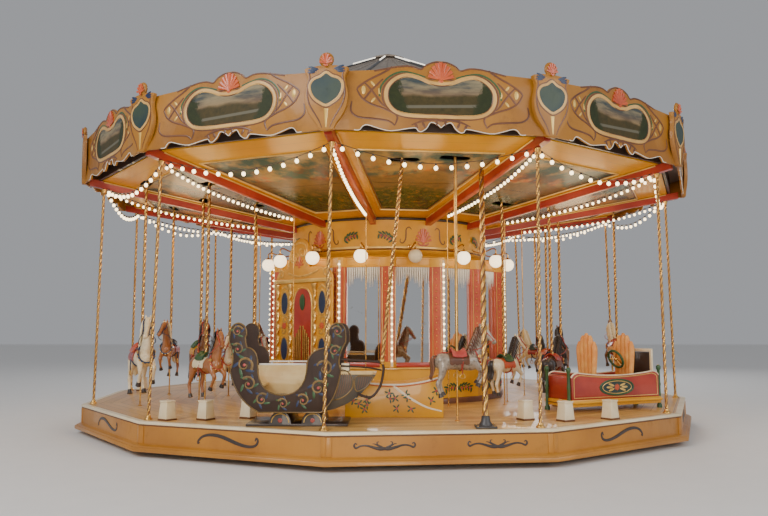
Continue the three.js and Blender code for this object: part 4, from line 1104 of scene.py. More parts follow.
sweep_boards = Piece("sweep_boards")
sweep_boards.add([bar([(x, -out, under_ceiling(out) - 0.012) for out in (1.72, 4.70)], 0.010)
                  for x in (-0.056, 0.056)], GOLD_LINE, CORNER_PLACES)
tilt = tip(180, "Z") @ shift(z=under_ceiling(0.0) - 0.1145) @ Matrix.Rotation(atan(SLOPE), 4, "X")
sweep_boards.add(moved(block((-0.030, 1.78, -0.003), (0.030, 4.72, 0.003), 0.002), tilt), ORANGE_RED, CORNER_PLACES)
sweep_boards.show("yellow_paint")

# %% Lamp strings
def lamp_string(piece, line, spacing, first, radius, places):
    """Hangs lamps at even steps along a wire, in every bay."""
    run = [Vector(point) for point in curved(line, 12)]
    spots, gone, due = [], 0.0, spacing * first
    for a, b in zip(run, run[1:]):
        length = (b - a).length
        while due <= gone + length:
            spots.append(Matrix.Translation(a.lerp(b, (due - gone) / length)))
            due += spacing
        gone += length
    lamps = [place @ spot for place in places for spot in spots]
    piece.add(bar(run, 0.0045, roundness=0), DARK, places)
    piece.add(moved(ball(radius, 8, 5, (1.0, 1.0, 1.1)), shift(z=-radius - 0.026)), LIT_BULB, lamps)
    piece.add(spun([(0.0, -0.034), (0.0115, -0.034), (0.014, 0.002), (0.0, 0.004)], 6), DARK, lamps)
    print(len(spots), "lamps on each string")


STRING_END, INNER_ROD = 4.66, 2.32
strings = Piece("beam_lamps")
lamp_string(strings, [(0.0, -out, under_ceiling(out) - sag) for out, sag in (
    (STRING_END, 0.125), (3.95, 0.215), (3.10, 0.205), (INNER_ROD, 0.135))], 0.088, 0.5, 0.021, CORNER_PLACES)
rod_top = under_ceiling(INNER_ROD) - 0.11
thin_rod = spun([(0.0, FLOOR_TOP), (0.022, FLOOR_TOP), (0.022, FLOOR_TOP + 0.008), (0.008, FLOOR_TOP + 0.014),
                 (0.008, rod_top), (0.0, rod_top)], 10)
strings.add(thin_rod, BRASS, ring(CORNER_TURNS, 0.0, INNER_ROD))
strings.show("lamp_glass")

festoon = Piece("side_lamps")
half = STRING_END * sin(BAY / 2) - 0.05
lamp_string(festoon, [(x, -STRING_END * cos(BAY / 2), z) for x, z in (
    (-half, 3.665), (-0.75, 3.548), (-0.35, 3.478), (0.0, 3.452), (0.35, 3.478), (0.75, 3.548), (half, 3.665))],
    0.186, 0.35, 0.026, SIDE_PLACES)
festoon.show("lamp_glass")

# %% [markdown]
# ## The crown
# Twelve painted boards with a scalloped lower edge stand round the eaves, and a shield covers each joint.
# One board is drawn as an outline and extruded. Its ornaments are carved lines: round tubes, flattened
# against the board, which catch the light like real carving. A board and its ornaments are made once and
# then copied to the twelve sides.

# %% Crown boards
BOARD_FACE = 4.83
LOWER_EDGE = [
    (0.035, 3.822), (0.115, 3.850), (0.165, 3.780), (0.222, 3.740), (0.262, 3.746), (0.290, 3.780),
    (0.370, 3.772), (0.570, 3.738), (0.700, 3.760), (0.830, 3.797), (0.885, 3.783), (0.925, 3.737),
]
UPPER_EDGE = [(0.075, 4.560), (0.170, 4.520), (0.230, 4.470), (0.330, 4.497), (0.480, 4.492), (0.760, 4.430)]


def mirrored(points):
    return [(-x, z) for x, z in reversed(points)]


def edge_line(half_line, middle):
    """A run with its mirror image before it, and a middle point between them."""
    return mirrored(half_line) + [(0.0, middle)] + half_line


def closed_half(points, top, bottom, grow=0.0, middle=4.15):
    """A closed outline from its right half, grown outwards from a middle point."""
    outline = []
    for point in [(0.0, top)] + points + [(0.0, bottom)] + mirrored(points):
        way = (Vector(point) - Vector((0.0, middle))).normalized()
        outline.append((point[0] + way.x * grow, point[1] + way.y * grow))
    return outline


crown_outline = [(-1.29, 3.735)] + curved(edge_line(LOWER_EDGE, 3.792), 4) + [(1.29, 3.735), (1.29, 4.39)]
crown_outline += curved(edge_line(UPPER_EDGE, 4.565), 4)[::-1] + [(-1.29, 4.39)]
boards = Piece("crown_boards")
# the boards take the darkened ochre, which is painted shade
boards.add(board(crown_outline, 0.030, 0.004), CROWN_SHADED_OCHRE, ring(SIDE_TURNS, 0.0, BOARD_FACE - 0.030))
boards.add(sided_ring([(4.7905, 4.02), (4.968, 4.02), (4.968, 4.06), (4.7905, 4.06)]), DARK)
boards.show("ochre_paint", "crown")

# %% Painted view
def painted_view(name):
    """A dim generic view: evening cloud over hills and water, with trees at both ends."""
    f = Finish(name)
    across, _, _ = side_coordinates(f)
    _, _, z = f.axes()
    streaks = f.fade(f.noise(2.2, 6.0, (1.0, 1.0, 5.0), 0.6), 0.35, 0.65)
    sky = f.mix(streaks, (0.040, 0.055, 0.060), (0.26, 0.21, 0.12))
    sky = f.mix(f.fade(z, 4.30, 4.10) * 0.5, sky, (0.30, 0.15, 0.05))
    leaves = f.noise(16.0, 6.0, None, 0.7)
    water = f.fade(f.sum("ABSOLUTE", z - 4.035 - across * 0.04), 0.022, 0.012)
    land = f.mix(water * 0.7, f.mix(leaves, (0.010, 0.018, 0.010), (0.105, 0.070, 0.022)), (0.16, 0.15, 0.11))
    view = f.mix(f.fade(z - (4.09 + f.noise(2.6, 4.0) * 0.14), -0.03, 0.02), land, sky)
    crowns = f.sum("ABSOLUTE", across) + leaves * 0.30 - (z - 4.0) * 0.35
    view = f.mix(f.fade(crowns, 0.50, 0.56), view, f.mix(leaves, (0.008, 0.014, 0.008), (0.045, 0.052, 0.016)))
    return f.look(Base_Color=view, Roughness=0.5, Specular_IOR_Level=0.2, Normal=f.bump(leaves, 0.0012, 0.4))


VIEW = painted_view("painted_view")
print(VIEW.name, "has", len(VIEW.node_tree.nodes), "nodes")

# %% Carving of one board
CARTOUCHE = [
    (0.120, 4.296), (0.230, 4.345), (0.370, 4.374), (0.500, 4.330), (0.590, 4.235), (0.608, 4.130),
    (0.575, 4.035), (0.490, 3.962), (0.360, 3.932), (0.180, 3.932),
]
FOOT = 3.936
board_places = ring(SIDE_TURNS, 0.0, BOARD_FACE)
carving = Piece("crown_carving")
carving.add(board(curved(closed_half(CARTOUCHE, 4.278, FOOT), 4, True), 0.004), VIEW, board_places)
carving.add(frame_line(closed_half(CARTOUCHE, 4.278, FOOT, 0.018), 0.026), SAND, board_places)
carving.add(frame_line(closed_half(CARTOUCHE, 4.278, FOOT, -0.004), 0.009, 1.2), BROWN, board_places)
carving.add(frame_line(closed_half(CARTOUCHE, 4.300, FOOT, 0.060), 0.011), BROWN, board_places)
olive = closed_half(CARTOUCHE, 4.335, FOOT, 0.092)
for side in (1, -1):
    carving.add(relief([p for p in olive if p[1] > 4.06 and side * p[0] > 0.1], 0.012, flat=0.4), GREEN, board_places)
carving.add(fan(0.30, 0.20, 9, 0.021), ORANGE_RED, ring(SIDE_TURNS, 0.0, BOARD_FACE + 0.008, 4.345))

lace, glints, pelmet = [], [], []
for side in BOTH:
    for run in (
        [(0.560, 4.475), (0.600, 4.440), (0.690, 4.385), (0.820, 4.315), (0.930, 4.235), (0.955, 4.195)],
        [(0.955, 4.200), (0.900, 4.105), (0.800, 4.040), (0.680, 4.000), (0.600, 3.968), (0.520, 3.930),
         (0.498, 3.880), (0.530, 3.800)],
        [(0.660, 4.330), (0.720, 4.270), (0.800, 4.185), (0.865, 4.100), (0.880, 4.075)],
        [(0.880, 4.290), (0.805, 4.215), (0.740, 4.130), (0.690, 4.060), (0.640, 4.010)],
        [(0.530, 3.800), (0.600, 3.850), (0.760, 3.870), (0.940, 3.885), (1.020, 3.950), (1.010, 4.060)],
    ):
        lace.append(relief([(side * x, z) for x, z in run], 0.0125, [0.7] + [1.0] * (len(run) - 2) + [0.6]))
    for x, z, long, wide, lean in (
        (0.880, 4.195, 0.10, 0.055, 0), (0.775, 4.270, 0.07, 0.03, 40), (0.770, 4.085, 0.07, 0.03, -40),
        (0.700, 4.175, 0.10, 0.03, 8),
    ):
        glints.append(leaf(long, wide, side * x, z, side * lean))
    drape = [(0.0, 3.868), (0.07, 3.886), (0.16, 3.872), (0.25, 3.850), (0.34, 3.810)]
    pelmet.append(relief([(side * x, z) for x, z in drape], 0.014, [1.2, 1.2, 1.1, 0.9, 0.4]))
    for x, z, lean in ((0.05, 3.845, 8), (0.20, 3.818, 25), (0.285, 3.806, 35)):
        pelmet.append(leaf(0.075, 0.035, side * x, z, side * lean))
carving.add(lace, BROWN, board_places).add(glints, GOLD_LINE, board_places).add(pelmet, BROWN, board_places)
edge = [(-0.985, 3.737)] + edge_line(LOWER_EDGE, 3.792) + [(0.985, 3.737)]
carving.add(relief(edge, 0.0045, flat=1.0), WHITE, board_places)
carving.add(relief([(x, z - 0.012) for x, z in edge_line(UPPER_EDGE, 4.560)], 0.010), BROWN, board_places)
carving.show("gilt_paint")

# %% [markdown]
# ## Shields over the joints
# A shield has a pointed field of dark blue-green in a pale frame, two short wings, and a round crest
# that carries a shell.

# %% Corner shields
SHIELD_BACK = 4.965
side_line = [
    (0.070, 3.725), (0.110, 3.790), (0.190, 3.900), (0.238, 4.020), (0.245, 4.140), (0.222, 4.250), (0.215, 4.330),
    (0.250, 4.420), (0.170, 4.438), (0.090, 4.455),
]
FIELD = [(0.060, 4.318), (0.130, 4.292), (0.172, 4.235), (0.165, 4.160), (0.125, 4.090), (0.060, 4.040)]
PEAK, POINT = 4.360, 4.012
shield_places = ring(CORNER_TURNS, 0.0, SHIELD_BACK + 0.055)
shields = Piece("crown_shields")
# the shields take the darkened ochre, which is painted shade
shields.add(board(curved(side_line + mirrored(side_line), 3, True), 0.055, 0.010), CROWN_SHADED_OCHRE,
            ring(CORNER_TURNS, 0.0, SHIELD_BACK))
shields.add(board(curved(closed_half(FIELD, PEAK, POINT), 3, True), 0.006), TEAL, shield_places)
shields.add(frame_line(closed_half(FIELD, PEAK, POINT, 0.014, 4.18), 0.019), SAND, shield_places)
shields.add(frame_line(closed_half(FIELD, PEAK, POINT, 0.038, 4.18), 0.008), BROWN, shield_places)
shields.add([leaf(0.15 - 0.03 * k, 0.035, 0, 4.13 + 0.055 * k, 90) for k in range(3)], BLUE, shield_places)
rim = [(0.205, 4.400), (0.186, 4.330), (0.200, 4.250), (0.215, 4.140), (0.190, 4.020), (0.140, 3.930), (0.080, 3.830),
       (0.045, 3.745)]
shields.add([relief([(side * x, z) for x, z in rim], 0.010, [0.6, 1, 1, 1, 1, 1, 0.8, 0.5]) for side in BOTH],
            BROWN, shield_places)
drop = relief([(0.0, 3.960), (0.0, 3.900), (0.0, 3.820), (0.0, 3.750)], 0.020, [1.3, 1.0, 0.7, 0.3])
shields.add(drop, GOLD_LINE, shield_places)
shields.add([leaf(0.13 - 0.018 * k, 0.034, side * (0.145 + 0.012 * k), 4.428 - 0.024 * k, side * (72 + 10 * k))
             for side in BOTH for k in range(3)], BLUE, shield_places)
shields.add(ball(0.085, 20, 12, (1.0, 0.45, 1.0)), CROWN_SHADED_OCHRE, ring(CORNER_TURNS, 0.0, SHIELD_BACK + 0.035, 4.522))
shields.add(fan(0.150, 0.115, 7, 0.013), ORANGE_RED, ring(CORNER_TURNS, 0.0, SHIELD_BACK + 0.073, 4.470))
shields.show("gilt_paint", "crown")

# %% [markdown]
# ## The roof
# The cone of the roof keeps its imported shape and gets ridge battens, seams and a lit line on each ridge near
# the top, where the photograph shows one over the crown.

# %% Ridges, seams and lit lines
EAVES_RADIUS, EAVES_HEIGHT, ROOF_SLOPE = 4.785, 4.151, 0.477


def down_roof(out_far, out_near, lift, radius, share=None):
    """A straight tube down the roof, on a corner line or at a share of a side's half width."""
    line = []
    for out in (out_far, out_near):
        x, y = (0.0, -out) if share is None else (share * out * sin(BAY / 2), -out * cos(BAY / 2))
        line.append((x, y, EAVES_HEIGHT + (EAVES_RADIUS - out) * ROOF_SLOPE + lift))
    return bar(line, radius)


roof_trim = Piece("roof_battens")
roof_trim.add(down_roof(4.76, 0.34, 0.004, 0.022), STEEL, CORNER_PLACES)
roof_trim.add([down_roof(4.70, 0.36, 0.002, 0.007, share) for share in (-0.5, 0.0, 0.5)], SHEET, SIDE_PLACES)
roof_trim.show("roof_sheet")
Piece("roof_peak_lights").add(down_roof(0.95, 0.36, 0.034, 0.012), LIT_LINE, CORNER_PLACES).show("lamp_glass")

# %% [markdown]
# ## The drum
# The middle of the ride is a drum of sixteen mirrors. Red pilasters stand between them, each with a strip
# of lamps on its ridge, and pale icicles hang from the yellow head band. A pilaster is its cross-section,
# extruded upwards and bevelled.

# %% Pilasters, sill and head band
PILASTER = [(-0.115, -1.88), (-0.115, -1.935), (0.030, -2.038), (0.080, -2.038), (0.115, -1.935), (0.115, -1.88)]
MIRROR_WALL, FOOT_WALL, BEHIND_ORGAN = 1.9055, 1.965, 13
pilasters = ring([DRUM_TURN + DRUM_BAY * (k + 0.5) for k in range(DRUM_SIDES) if k != BEHIND_ORGAN])
drum = Piece("drum_pilasters")
drum.add(drum_ring([(MIRROR_WALL, 0.9656), (1.962, 0.9656), (1.967, 0.975), (1.967, 1.020), (1.958, 1.034),
                    (MIRROR_WALL, 1.034)]), RED)
drum.add(drum_ring([(MIRROR_WALL, 2.455), (1.958, 2.455), (1.964, 2.465), (1.964, 2.485), (1.956, 2.492),
                    (1.956, 2.575), (1.964, 2.582), (1.964, 2.5995), (MIRROR_WALL, 2.5995)]), YELLOW)
drum.add(pillar(PILASTER, 0.9656, 2.599, 0.006), ORANGE_RED, pilasters)
drum.add(block((0.037, -2.045, 0.99), (0.073, -2.034, 2.56), 0.003), CREAM, pilasters)
for low, high in ((0.966, 1.05), (2.46, 2.599)):
    drum.add(pillar([(x * 1.08, y - 0.006) for x, y in PILASTER], low, high, 0.004), YELLOW, pilasters)
drum.add([bar([(x, y, 1.06), (x, y, 2.45)], 0.005) for x, y in ((-0.088, -1.962), (0.012, -2.033), (0.104, -1.974))],
         GOLD_LINE, pilasters)
for bead, finish, x, y, low, high, spacing in ((STUD, GILT, -0.040, -1.990, 1.10, 2.42, 0.095),
                                               (ball(0.0165, 6, 5), LIT_BULB, 0.055, -2.052, 1.02, 2.54, 0.087)):
    row = bead_row((x, y, low), (x, y, high), spacing)
    drum.add(bead, finish, [turn @ spot for turn in pilasters for spot in row])
drum.show("red_paint", "drum_frame")

# %% Icicle fringe
rng = random.Random(7)


def icicle_row(width):
    """Pale pointed drops of uneven length in a row."""
    shapes, count = [], round(width / 0.034)
    for k in range(count):
        x = (k + 0.5) / count * width - width / 2
        length = 0.16 + 0.07 * abs(x / (width / 2)) ** 2 + rng.uniform(0.0, 0.14)
        line = [(x, 0, 0.0), (x, 0, -length * 0.45), (x + rng.uniform(-0.004, 0.004), 0, -length)]
        shapes.append(tube(line, 0.012, [1.25, 0.85, 0.12], steps=1, roundness=0))
    return shapes


fringe = Piece("icicle_fringe")
fringe.add(icicle_row(0.52), WHITE, ring(DRUM_TURNS, 0.0, MIRROR_WALL * cos(DRUM_BAY / 2) + 0.035, 2.462))
fringe.show("cream_paint")

# %% [markdown]
# ## The drum's foot and its cornice
# The lower wall of the drum is painted with leaf sprays. A spray is a stem with pointed leaves on both
# sides and small flowers.

# %% Leaf sprays
def spray(length, leaves=5, flowers=3, lean=0.0):
    """The leaves on their stem, and the flowers, of one garland that grows to the right."""
    stem = [(0.0, 0.0), (length * 0.35, length * 0.16), (length * 0.7, length * 0.06), (length, length * 0.18)]
    foliage, blossom = [relief(stem, 0.006, [1.0, 1.0, 0.8, 0.4])], []
    for k in range(leaves):
        t = (k + 0.5) / leaves
        z = length * (0.16 * sin(t * 3.4) + 0.03)
        foliage += [leaf(0.085, 0.034, length * t, z + side * 0.030, 90 - side * 55 + 12 * k) for side in BOTH]
    for k in range(flowers):
        t = (k + 0.8) / (flowers + 0.6)
        blossom.append(moved(rosette(0.026, 5), shift(length * t, -0.008, length * 0.13 * sin(t * 3.4) - 0.004)))
    return [moved(joined(shapes), tip(-lean)) for shapes in (foliage, blossom)]


dado = Piece("drum_dado")
foot_places = ring(DRUM_TURNS, 0.0, FOOT_WALL * cos(DRUM_BAY / 2) + 0.002, 0.62)
for shape, finish in zip(spray(0.27), (GREEN, ROSE)):
    dado.add(shape, finish, [place @ side for place in foot_places for side in (STAY, FLIP_X)])
dado.add(drum_ring([(1.900, 0.9305), (1.968, 0.9305), (1.985, 0.940), (1.985, 0.955), (1.966, 0.965),
                    (1.900, 0.965)]), GOLD_LINE)
dado.add(drum_ring([(1.940, 0.4205), (1.990, 0.4205), (1.990, 0.480), (1.978, 0.500), (1.966, 0.505),
                    (1.940, 0.505)]), BROWN)
dado.show("ochre_paint")

# %% Cornice
cornice = Piece("cornice_band")
for outline, finish in (
    ([(1.60, 2.6005), (1.925, 2.6005), (1.945, 2.606), (1.950, 2.614), (1.942, 2.624), (1.900, 2.634),
      (1.800, 2.652), (1.725, 2.676), (1.690, 2.700), (1.668, 2.718), (1.660, 2.742), (1.660, 3.205),
      (1.60, 3.205)], MUSTARD),
    # The dark cap on top of the band is painted shade: the shadow gap between the cornice and the ceiling.
    ([(1.60, 3.2055), (1.668, 3.2055), (1.676, 3.214), (1.676, 3.232), (1.668, 3.240), (1.60, 3.240)], DARK),
    ([(1.655, 2.742), (1.668, 2.742), (1.672, 2.752), (1.668, 2.762), (1.655, 2.762)], BROWN),
):
    cornice.add(spun(outline, 64), finish)

SHELL_TURNS = [radians(19.4 + 60 * k) for k in range(6)]


def beside_shells(degrees, out, z):
    """Places at both sides of each shell, with the one on the left mirrored."""
    return [at(turn + side * radians(degrees), 0.0, out, z) @ (STAY if side > 0 else FLIP_X)
            for turn in SHELL_TURNS for side in (1, -1)]


cornice.add(fan(0.27, 0.22, 9, 0.016), ORANGE_RED, ring(SHELL_TURNS, 0.0, 1.664, 2.86))
cornice.add(relief([(-0.09, 0.035), (-0.04, 0.0), (0.04, 0.0), (0.09, 0.035)], 0.010), RED,
            ring(SHELL_TURNS, 0.0, 1.664, 2.815))
s_line = [(-0.065, 0.130), (-0.030, 0.165), (0.015, 0.135), (0.020, 0.060), (0.030, -0.030), (0.075, -0.085),
          (0.115, -0.060), (0.105, -0.020)]
cornice.add(relief(s_line, 0.0095, [0.6, 0.9, 1.0, 1.1, 1.1, 1.0, 0.8, 0.5]), BROWN, beside_shells(9.0, 1.664, 2.93))
for shape, finish in zip(spray(0.25, 5, 3, 25), (GREEN, ROSE)):
    cornice.add(shape, finish, beside_shells(17.0, 1.668, 2.87))
cornice.show("yellow_paint", "drum_cornice")

# %% Globe lamps
LAMP_OUT = 2.075
globes = Piece("globe_lamps")
arm = tube([(0.0, -1.675, 2.790), (0.0, -1.78, 2.760), (0.0, -1.90, 2.775), (0.0, -2.02, 2.815),
            (0.0, -LAMP_OUT, 2.790), (0.0, -LAMP_OUT, 2.722)], 0.0105, steps=5)
curl = tube([(0.0, -1.80, 2.757), (0.0, -1.84, 2.715), (0.0, -1.89, 2.715), (0.0, -1.90, 2.745)], 0.006,
            [1, 1, 0.9, 0.4])
gallery = spun([(0.0, 0.098), (0.045, 0.098), (0.050, 0.086), (0.055, 0.086), (0.050, 0.106), (0.020, 0.116),
                (0.013, 0.128), (0.0, 0.128)], 20)
wall_plate = spun([(0.0, 0.0), (0.035, 0.0), (0.030, 0.010), (0.014, 0.016), (0.0, 0.016)], 16)
moved(gallery, shift(0, -LAMP_OUT, 2.61))
moved(wall_plate, shift(0, -1.664, 2.790) @ tip(90, "X"))
globes.add([arm, curl, gallery, wall_plate], BRASS, ring(DRUM_TURNS))
globe, globe_places = ball(0.105, 20, 12), ring(DRUM_TURNS, 0.0, LAMP_OUT, 2.61)
globes.add(globe, LIT_GLOBE, globe_places[1:]).add(globe, CREAM, globe_places[0])
globes.add(spun([(1.661, 2.765), (1.676, 2.765), (1.680, 2.780), (1.676, 2.798), (1.661, 2.798)], 64), GOLD_LINE)
globes.show("lamp_glass", "lamp_ring")

# %% [markdown]
# ## The organ front
# A gilded wooden front stands against the drum. It is a flat board with an arched top. Twisted columns,
# bars, scrolls and a dark red arch are carved pieces laid on it.

# %% Outlines with bent edges
def bent_outline(start, *moves, steps=8):
    """An outline of straight and bent edges. A move is an end point, or a bend point and an end point."""
    run = [start]
    for move in moves:
        a, bend, end = Vector(run[-1]), Vector(move[:2]), Vector(move[-2:])
        shares = [1.0] if len(move) == 2 else [step / steps for step in range(1, steps + 1)]
        run += [tuple(a * (1 - t) ** 2 + bend * (2 * t * (1 - t)) + end * t * t) for t in shares]
    return run


# %% Organ front
FACE = at(radians(-40), 0.0, 2.034)
organ_outline = bent_outline(
    (-0.62, 0.4205), (0.62, 0.4205), (0.62, 2.30), (0.60, 2.45, 0.35, 2.48), (0.105, 2.48), (0.105, 2.80),
    (0.08, 2.93, -0.09, 2.93), (-0.33, 2.87, -0.35, 2.48), (-0.60, 2.45, -0.62, 2.30))
organ = Piece("organ_carving")
organ.add(board(organ_outline, 0.034, 0.006), MUSTARD, at(radians(-40), 0.0, 2.0))
for low, high, deep in ((0.421, 0.50, 0.030), (0.86, 0.92, 0.035), (2.24, 2.30, 0.040)):
    organ.add(block((-0.615, -deep, low), (0.615, 0.0, high), 0.010), GOLD_LINE, FACE)
column = [
    twist(1.16, 0.036, 0.18),
    spun([(0.0, -0.05), (0.056, -0.05), (0.056, -0.02), (0.042, 0.0), (0.038, 0.03), (0.0, 0.03)], 16),
    spun([(0.0, 1.13), (0.038, 1.13), (0.042, 1.16), (0.060, 1.20), (0.060, 1.22), (0.0, 1.22)], 16),
]
organ.add(column, GILT, [FACE @ shift(x, -0.012, 1.00) for x in (-0.56, -0.27, 0.27, 0.56)])
arch = bent_outline((-0.20, 0.98), (0.20, 0.98), (0.20, 1.86), (0.20, 2.16, 0.0, 2.16), (-0.20, 2.16, -0.20, 1.86))
organ.add(board(arch, 0.010), RED, FACE).add(frame_line(arch, 0.020, 0.8, 1), GILT, FACE)
organ.add([bar([(x, -0.022, 1.02), (x, -0.022, 1.62 - 1.4 * abs(x))], 0.013)
           for x in (-0.15, -0.11, -0.07, -0.03, 0.03, 0.07, 0.11, 0.15)], BRASS, FACE)
organ.add(petal(0.26, 0.13), GREEN, FACE @ shift(0, -0.01, 1.94))
for side in BOTH:
    spot = FACE @ shift(side * 0.415)
    organ.add(ball(0.5, 20, 12, (0.15, 0.02, 0.34)), BLUE, [spot @ shift(z=z) for z in (1.93, 1.22)])
    for z in (1.93, 1.22):
        organ.add(frame_line(oval(0, z, 0.085, 0.185, 14), 0.015), GILT, spot)
    organ.add(rosette(0.055, 8), ORANGE_RED, spot @ shift(0, -0.006, 1.58))
    curls = [relief(volute(-0.02, 1.50, 0.075, 2.6, -7.0), 0.013), relief(volute(0.02, 1.66, 0.075, -0.5, 7.0), 0.013)]
    organ.add(curls + [relief([(-0.07, 2.14), (0.0, 2.19), (0.07, 2.14)], 0.016)], GILT, spot)
organ.add([
    relief(volute(0.50, 2.385, 0.070, 0.6, 7.4), 0.015), relief(volute(-0.50, 2.385, 0.070, 2.5, -7.4), 0.015),
    relief(volute(-0.20, 2.62, 0.105, -0.4, 8.0), 0.020), relief(volute(-0.02, 2.70, 0.085, 3.5, -8.0), 0.018),
    relief([(-0.33, 2.50), (-0.27, 2.74), (-0.12, 2.86), (0.04, 2.83), (0.085, 2.66), (0.085, 2.50)], 0.018),
    relief([(-0.34, 2.40), (-0.12, 2.34), (0.12, 2.36), (0.33, 2.42)], 0.018),
], GILT, FACE)
organ.add(fan(0.20, 0.15, 7, 0.014), ORANGE_RED, FACE @ shift(-0.09, 0, 2.50))
foliage, blossom = spray(0.42, 7, 4)
for side in (STAY, FLIP_X):
    spot = FACE @ side @ shift(0.06, 0, 0.66)
    organ.add(foliage, GREEN, spot).add(blossom, ROSE, spot)
organ.show("gilt_paint", "organ_front")

# %% [markdown]
# ## The gondola
# Two tall U-shaped boards end in scrolled heads, and a tub with two seats hangs between them. The boards
# are extruded outlines. Carved curls follow the middle of the U, and each curl is a tube that winds
# inwards and thins towards its end.

# %% Gondola boards
GONDOLA = shift(-1.14, -4.0, FLOOR_TOP)
gondola_outline = bent_outline(
    (-0.33, 0.165), (0.38, 0.165), (0.56, 0.30, 0.60, 0.64), (0.54, 0.77, 0.655, 0.96), (0.67, 1.18, 0.56, 1.18),
    (0.45, 1.16, 0.465, 1.04), (0.50, 1.03, 0.465, 0.90), (0.23, 0.89, 0.215, 0.70), (0.212, 0.37, -0.07, 0.36),
    (-0.352, 0.37, -0.352, 0.70), (-0.35, 0.89, -0.48, 0.90), (-0.515, 1.03, -0.485, 1.04),
    (-0.48, 1.16, -0.575, 1.18), (-0.688, 1.18, -0.681, 0.96), (-0.60, 0.77, -0.668, 0.64),
    (-0.60, 0.30, -0.33, 0.165), steps=7)[:-1]
curls, leaves, tips, knobs = [], [], [], []
for number, (x, z, radius, start, sweep) in enumerate((
    (-0.590, 1.085, 0.062, 0.4, 7.6), (-0.585, 0.880, 0.066, 2.4, -7.2), (-0.505, 0.700, 0.092, -0.6, 7.4),
    (-0.455, 0.485, 0.082, 2.4, -7.2), (-0.300, 0.310, 0.070, 0.8, 7.2), (-0.060, 0.262, 0.060, 2.6, -7.4),
    (0.170, 0.300, 0.070, 2.4, -7.2), (0.345, 0.440, 0.086, 0.4, 7.2), (0.420, 0.660, 0.092, 2.8, -7.4),
    (0.530, 0.860, 0.062, 0.6, 7.2), (0.555, 1.085, 0.062, 2.7, -7.6),
)):
    curls.append(relief(volute(x, z, radius * 1.08, start, sweep, 0.2, 13), radius * 0.17,
                        [1.1 - 0.06 * k for k in range(13)]))
    for k in range(5):
        angle = start + 1.3 + k * 1.2
        (leaves if (k + number) % 2 else tips).append(leaf(
            radius * 1.15, radius * 0.42, x + radius * 1.02 * cos(angle), z + radius * 1.02 * sin(angle),
            90 - (angle + 0.7) * 360 / tau))
    knobs.append(moved(ball(radius * 0.20, 10, 6, (1.0, 0.6, 1.0)), shift(x, 0, z)))
carved = [(frame_line(gondola_outline, 0.0085, 1.0, 1), OLIVE_GOLD), (joined(curls), OLIVE_GOLD),
          (joined(leaves), GREEN), (joined(tips), BLUE), (joined(knobs), ROSE)]
for name, side in (("front", STAY), ("back", FLIP_Y)):
    piece = Piece(f"gondola_{name}_board")
    piece.add(board(gondola_outline, 0.040, 0.008), CARVED, GONDOLA @ side @ shift(0, -0.38))
    for shape, finish in carved:
        piece.add(shape, finish, GONDOLA @ side @ shift(0, -0.42))
    piece.show("carved_wood", f"gondola_{name}_side")

# %% [markdown]
# ## The tub, its feet and its rail
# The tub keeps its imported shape. A copy of its mesh gets softer edges, and its painted stern gets thin
# slats in two leaf-shaped panels. The rail is a bent tube with a second one below it.

# %% Tub
TUB_CREAM = paint("tub_cream_paint", (0.80, 0.60, 0.27), (0.66, 0.42, 0.14), 0.38, 2.6, 0.15, 0.5)
TUB_DARK = paint("tub_dark_paint", (0.075, 0.050, 0.024), (0.040, 0.032, 0.022), 0.42, 3.0, 0.1, 0.5)
tub = Piece("gondola_tub")
tub.add(merged_node("gondola_hull", 0.005, 2, 50.0), TUB_DARK).finishes.append(TUB_CREAM)
# the faces inside the tub are painted cream
for face in tub.bm.faces:
    spot, normal = face.calc_center_median(), face.normal
    outward = normal.x * (1 if spot.x > -0.97 else -1) > 0.15
    if abs(spot.y + 4.0) < 0.3735 and normal.z > -0.1 and not outward:
        face.material_index = 1
near = GONDOLA @ shift(0, -0.3805)
for panel in (
    [(0.50, 0.31), (0.62, 0.33), (0.72, 0.42), (0.74, 0.52), (0.68, 0.62), (0.60, 0.64), (0.55, 0.56), (0.52, 0.44)],
    [(0.78, 0.40), (0.88, 0.44), (0.95, 0.52), (0.965, 0.57), (0.86, 0.575), (0.775, 0.565), (0.755, 0.50)],
):
    tub.add(frame_line(panel, 0.008, 0.8), OLIVE_GOLD, near)
slats = []
for k in range(6):
    x, rise = 0.026 * k, 0.012 * k
    slats += [relief([(0.545 + x, 0.335 + rise), (0.575 + x, 0.47), (0.600 + 0.022 * k, 0.60)], 0.0045),
              relief([(0.785 + x, 0.415 + rise), (0.800 + x, 0.50), (0.810 + x, 0.565)], 0.0045)]
tub.add(slats, BROWN, near)
tub.add(bar([(-0.34, -0.372, 0.707), (0.20, -0.372, 0.707)], 0.011), WHITE, [GONDOLA, GONDOLA @ FLIP_Y])
tub.add(block((0.60, -0.384, 0.63), (0.70, -0.372, 0.72), 0.006), CREAM, GONDOLA)
tub.add(frame_line([(0.60, 0.63), (0.70, 0.63), (0.70, 0.735), (0.60, 0.735)], 0.007, 0.9, 1), DARK, near)
tub.show("cream_paint", "gondola_hull")

# %% Feet, rail and poles
feet = Piece("gondola_feet")
feet.add(merged_node("gondola_stand", 0.006), DARK)
for x in (-0.095, 0.277):
    for side in BOTH:
        arc = [(x + 0.10 * cos(pi * k / 10), 0.045 + 0.10 * sin(pi * k / 10)) for k in range(11)]
        feet.add(relief(arc, 0.006, flat=1.0, steps=1), GOLD_LINE, GONDOLA @ shift(0, side * 0.361))
        feet.add(rosette(0.028, 8), RED, GONDOLA @ shift(x, side * 0.364, 0.070))
feet.show("dark_paint", "gondola_stand")

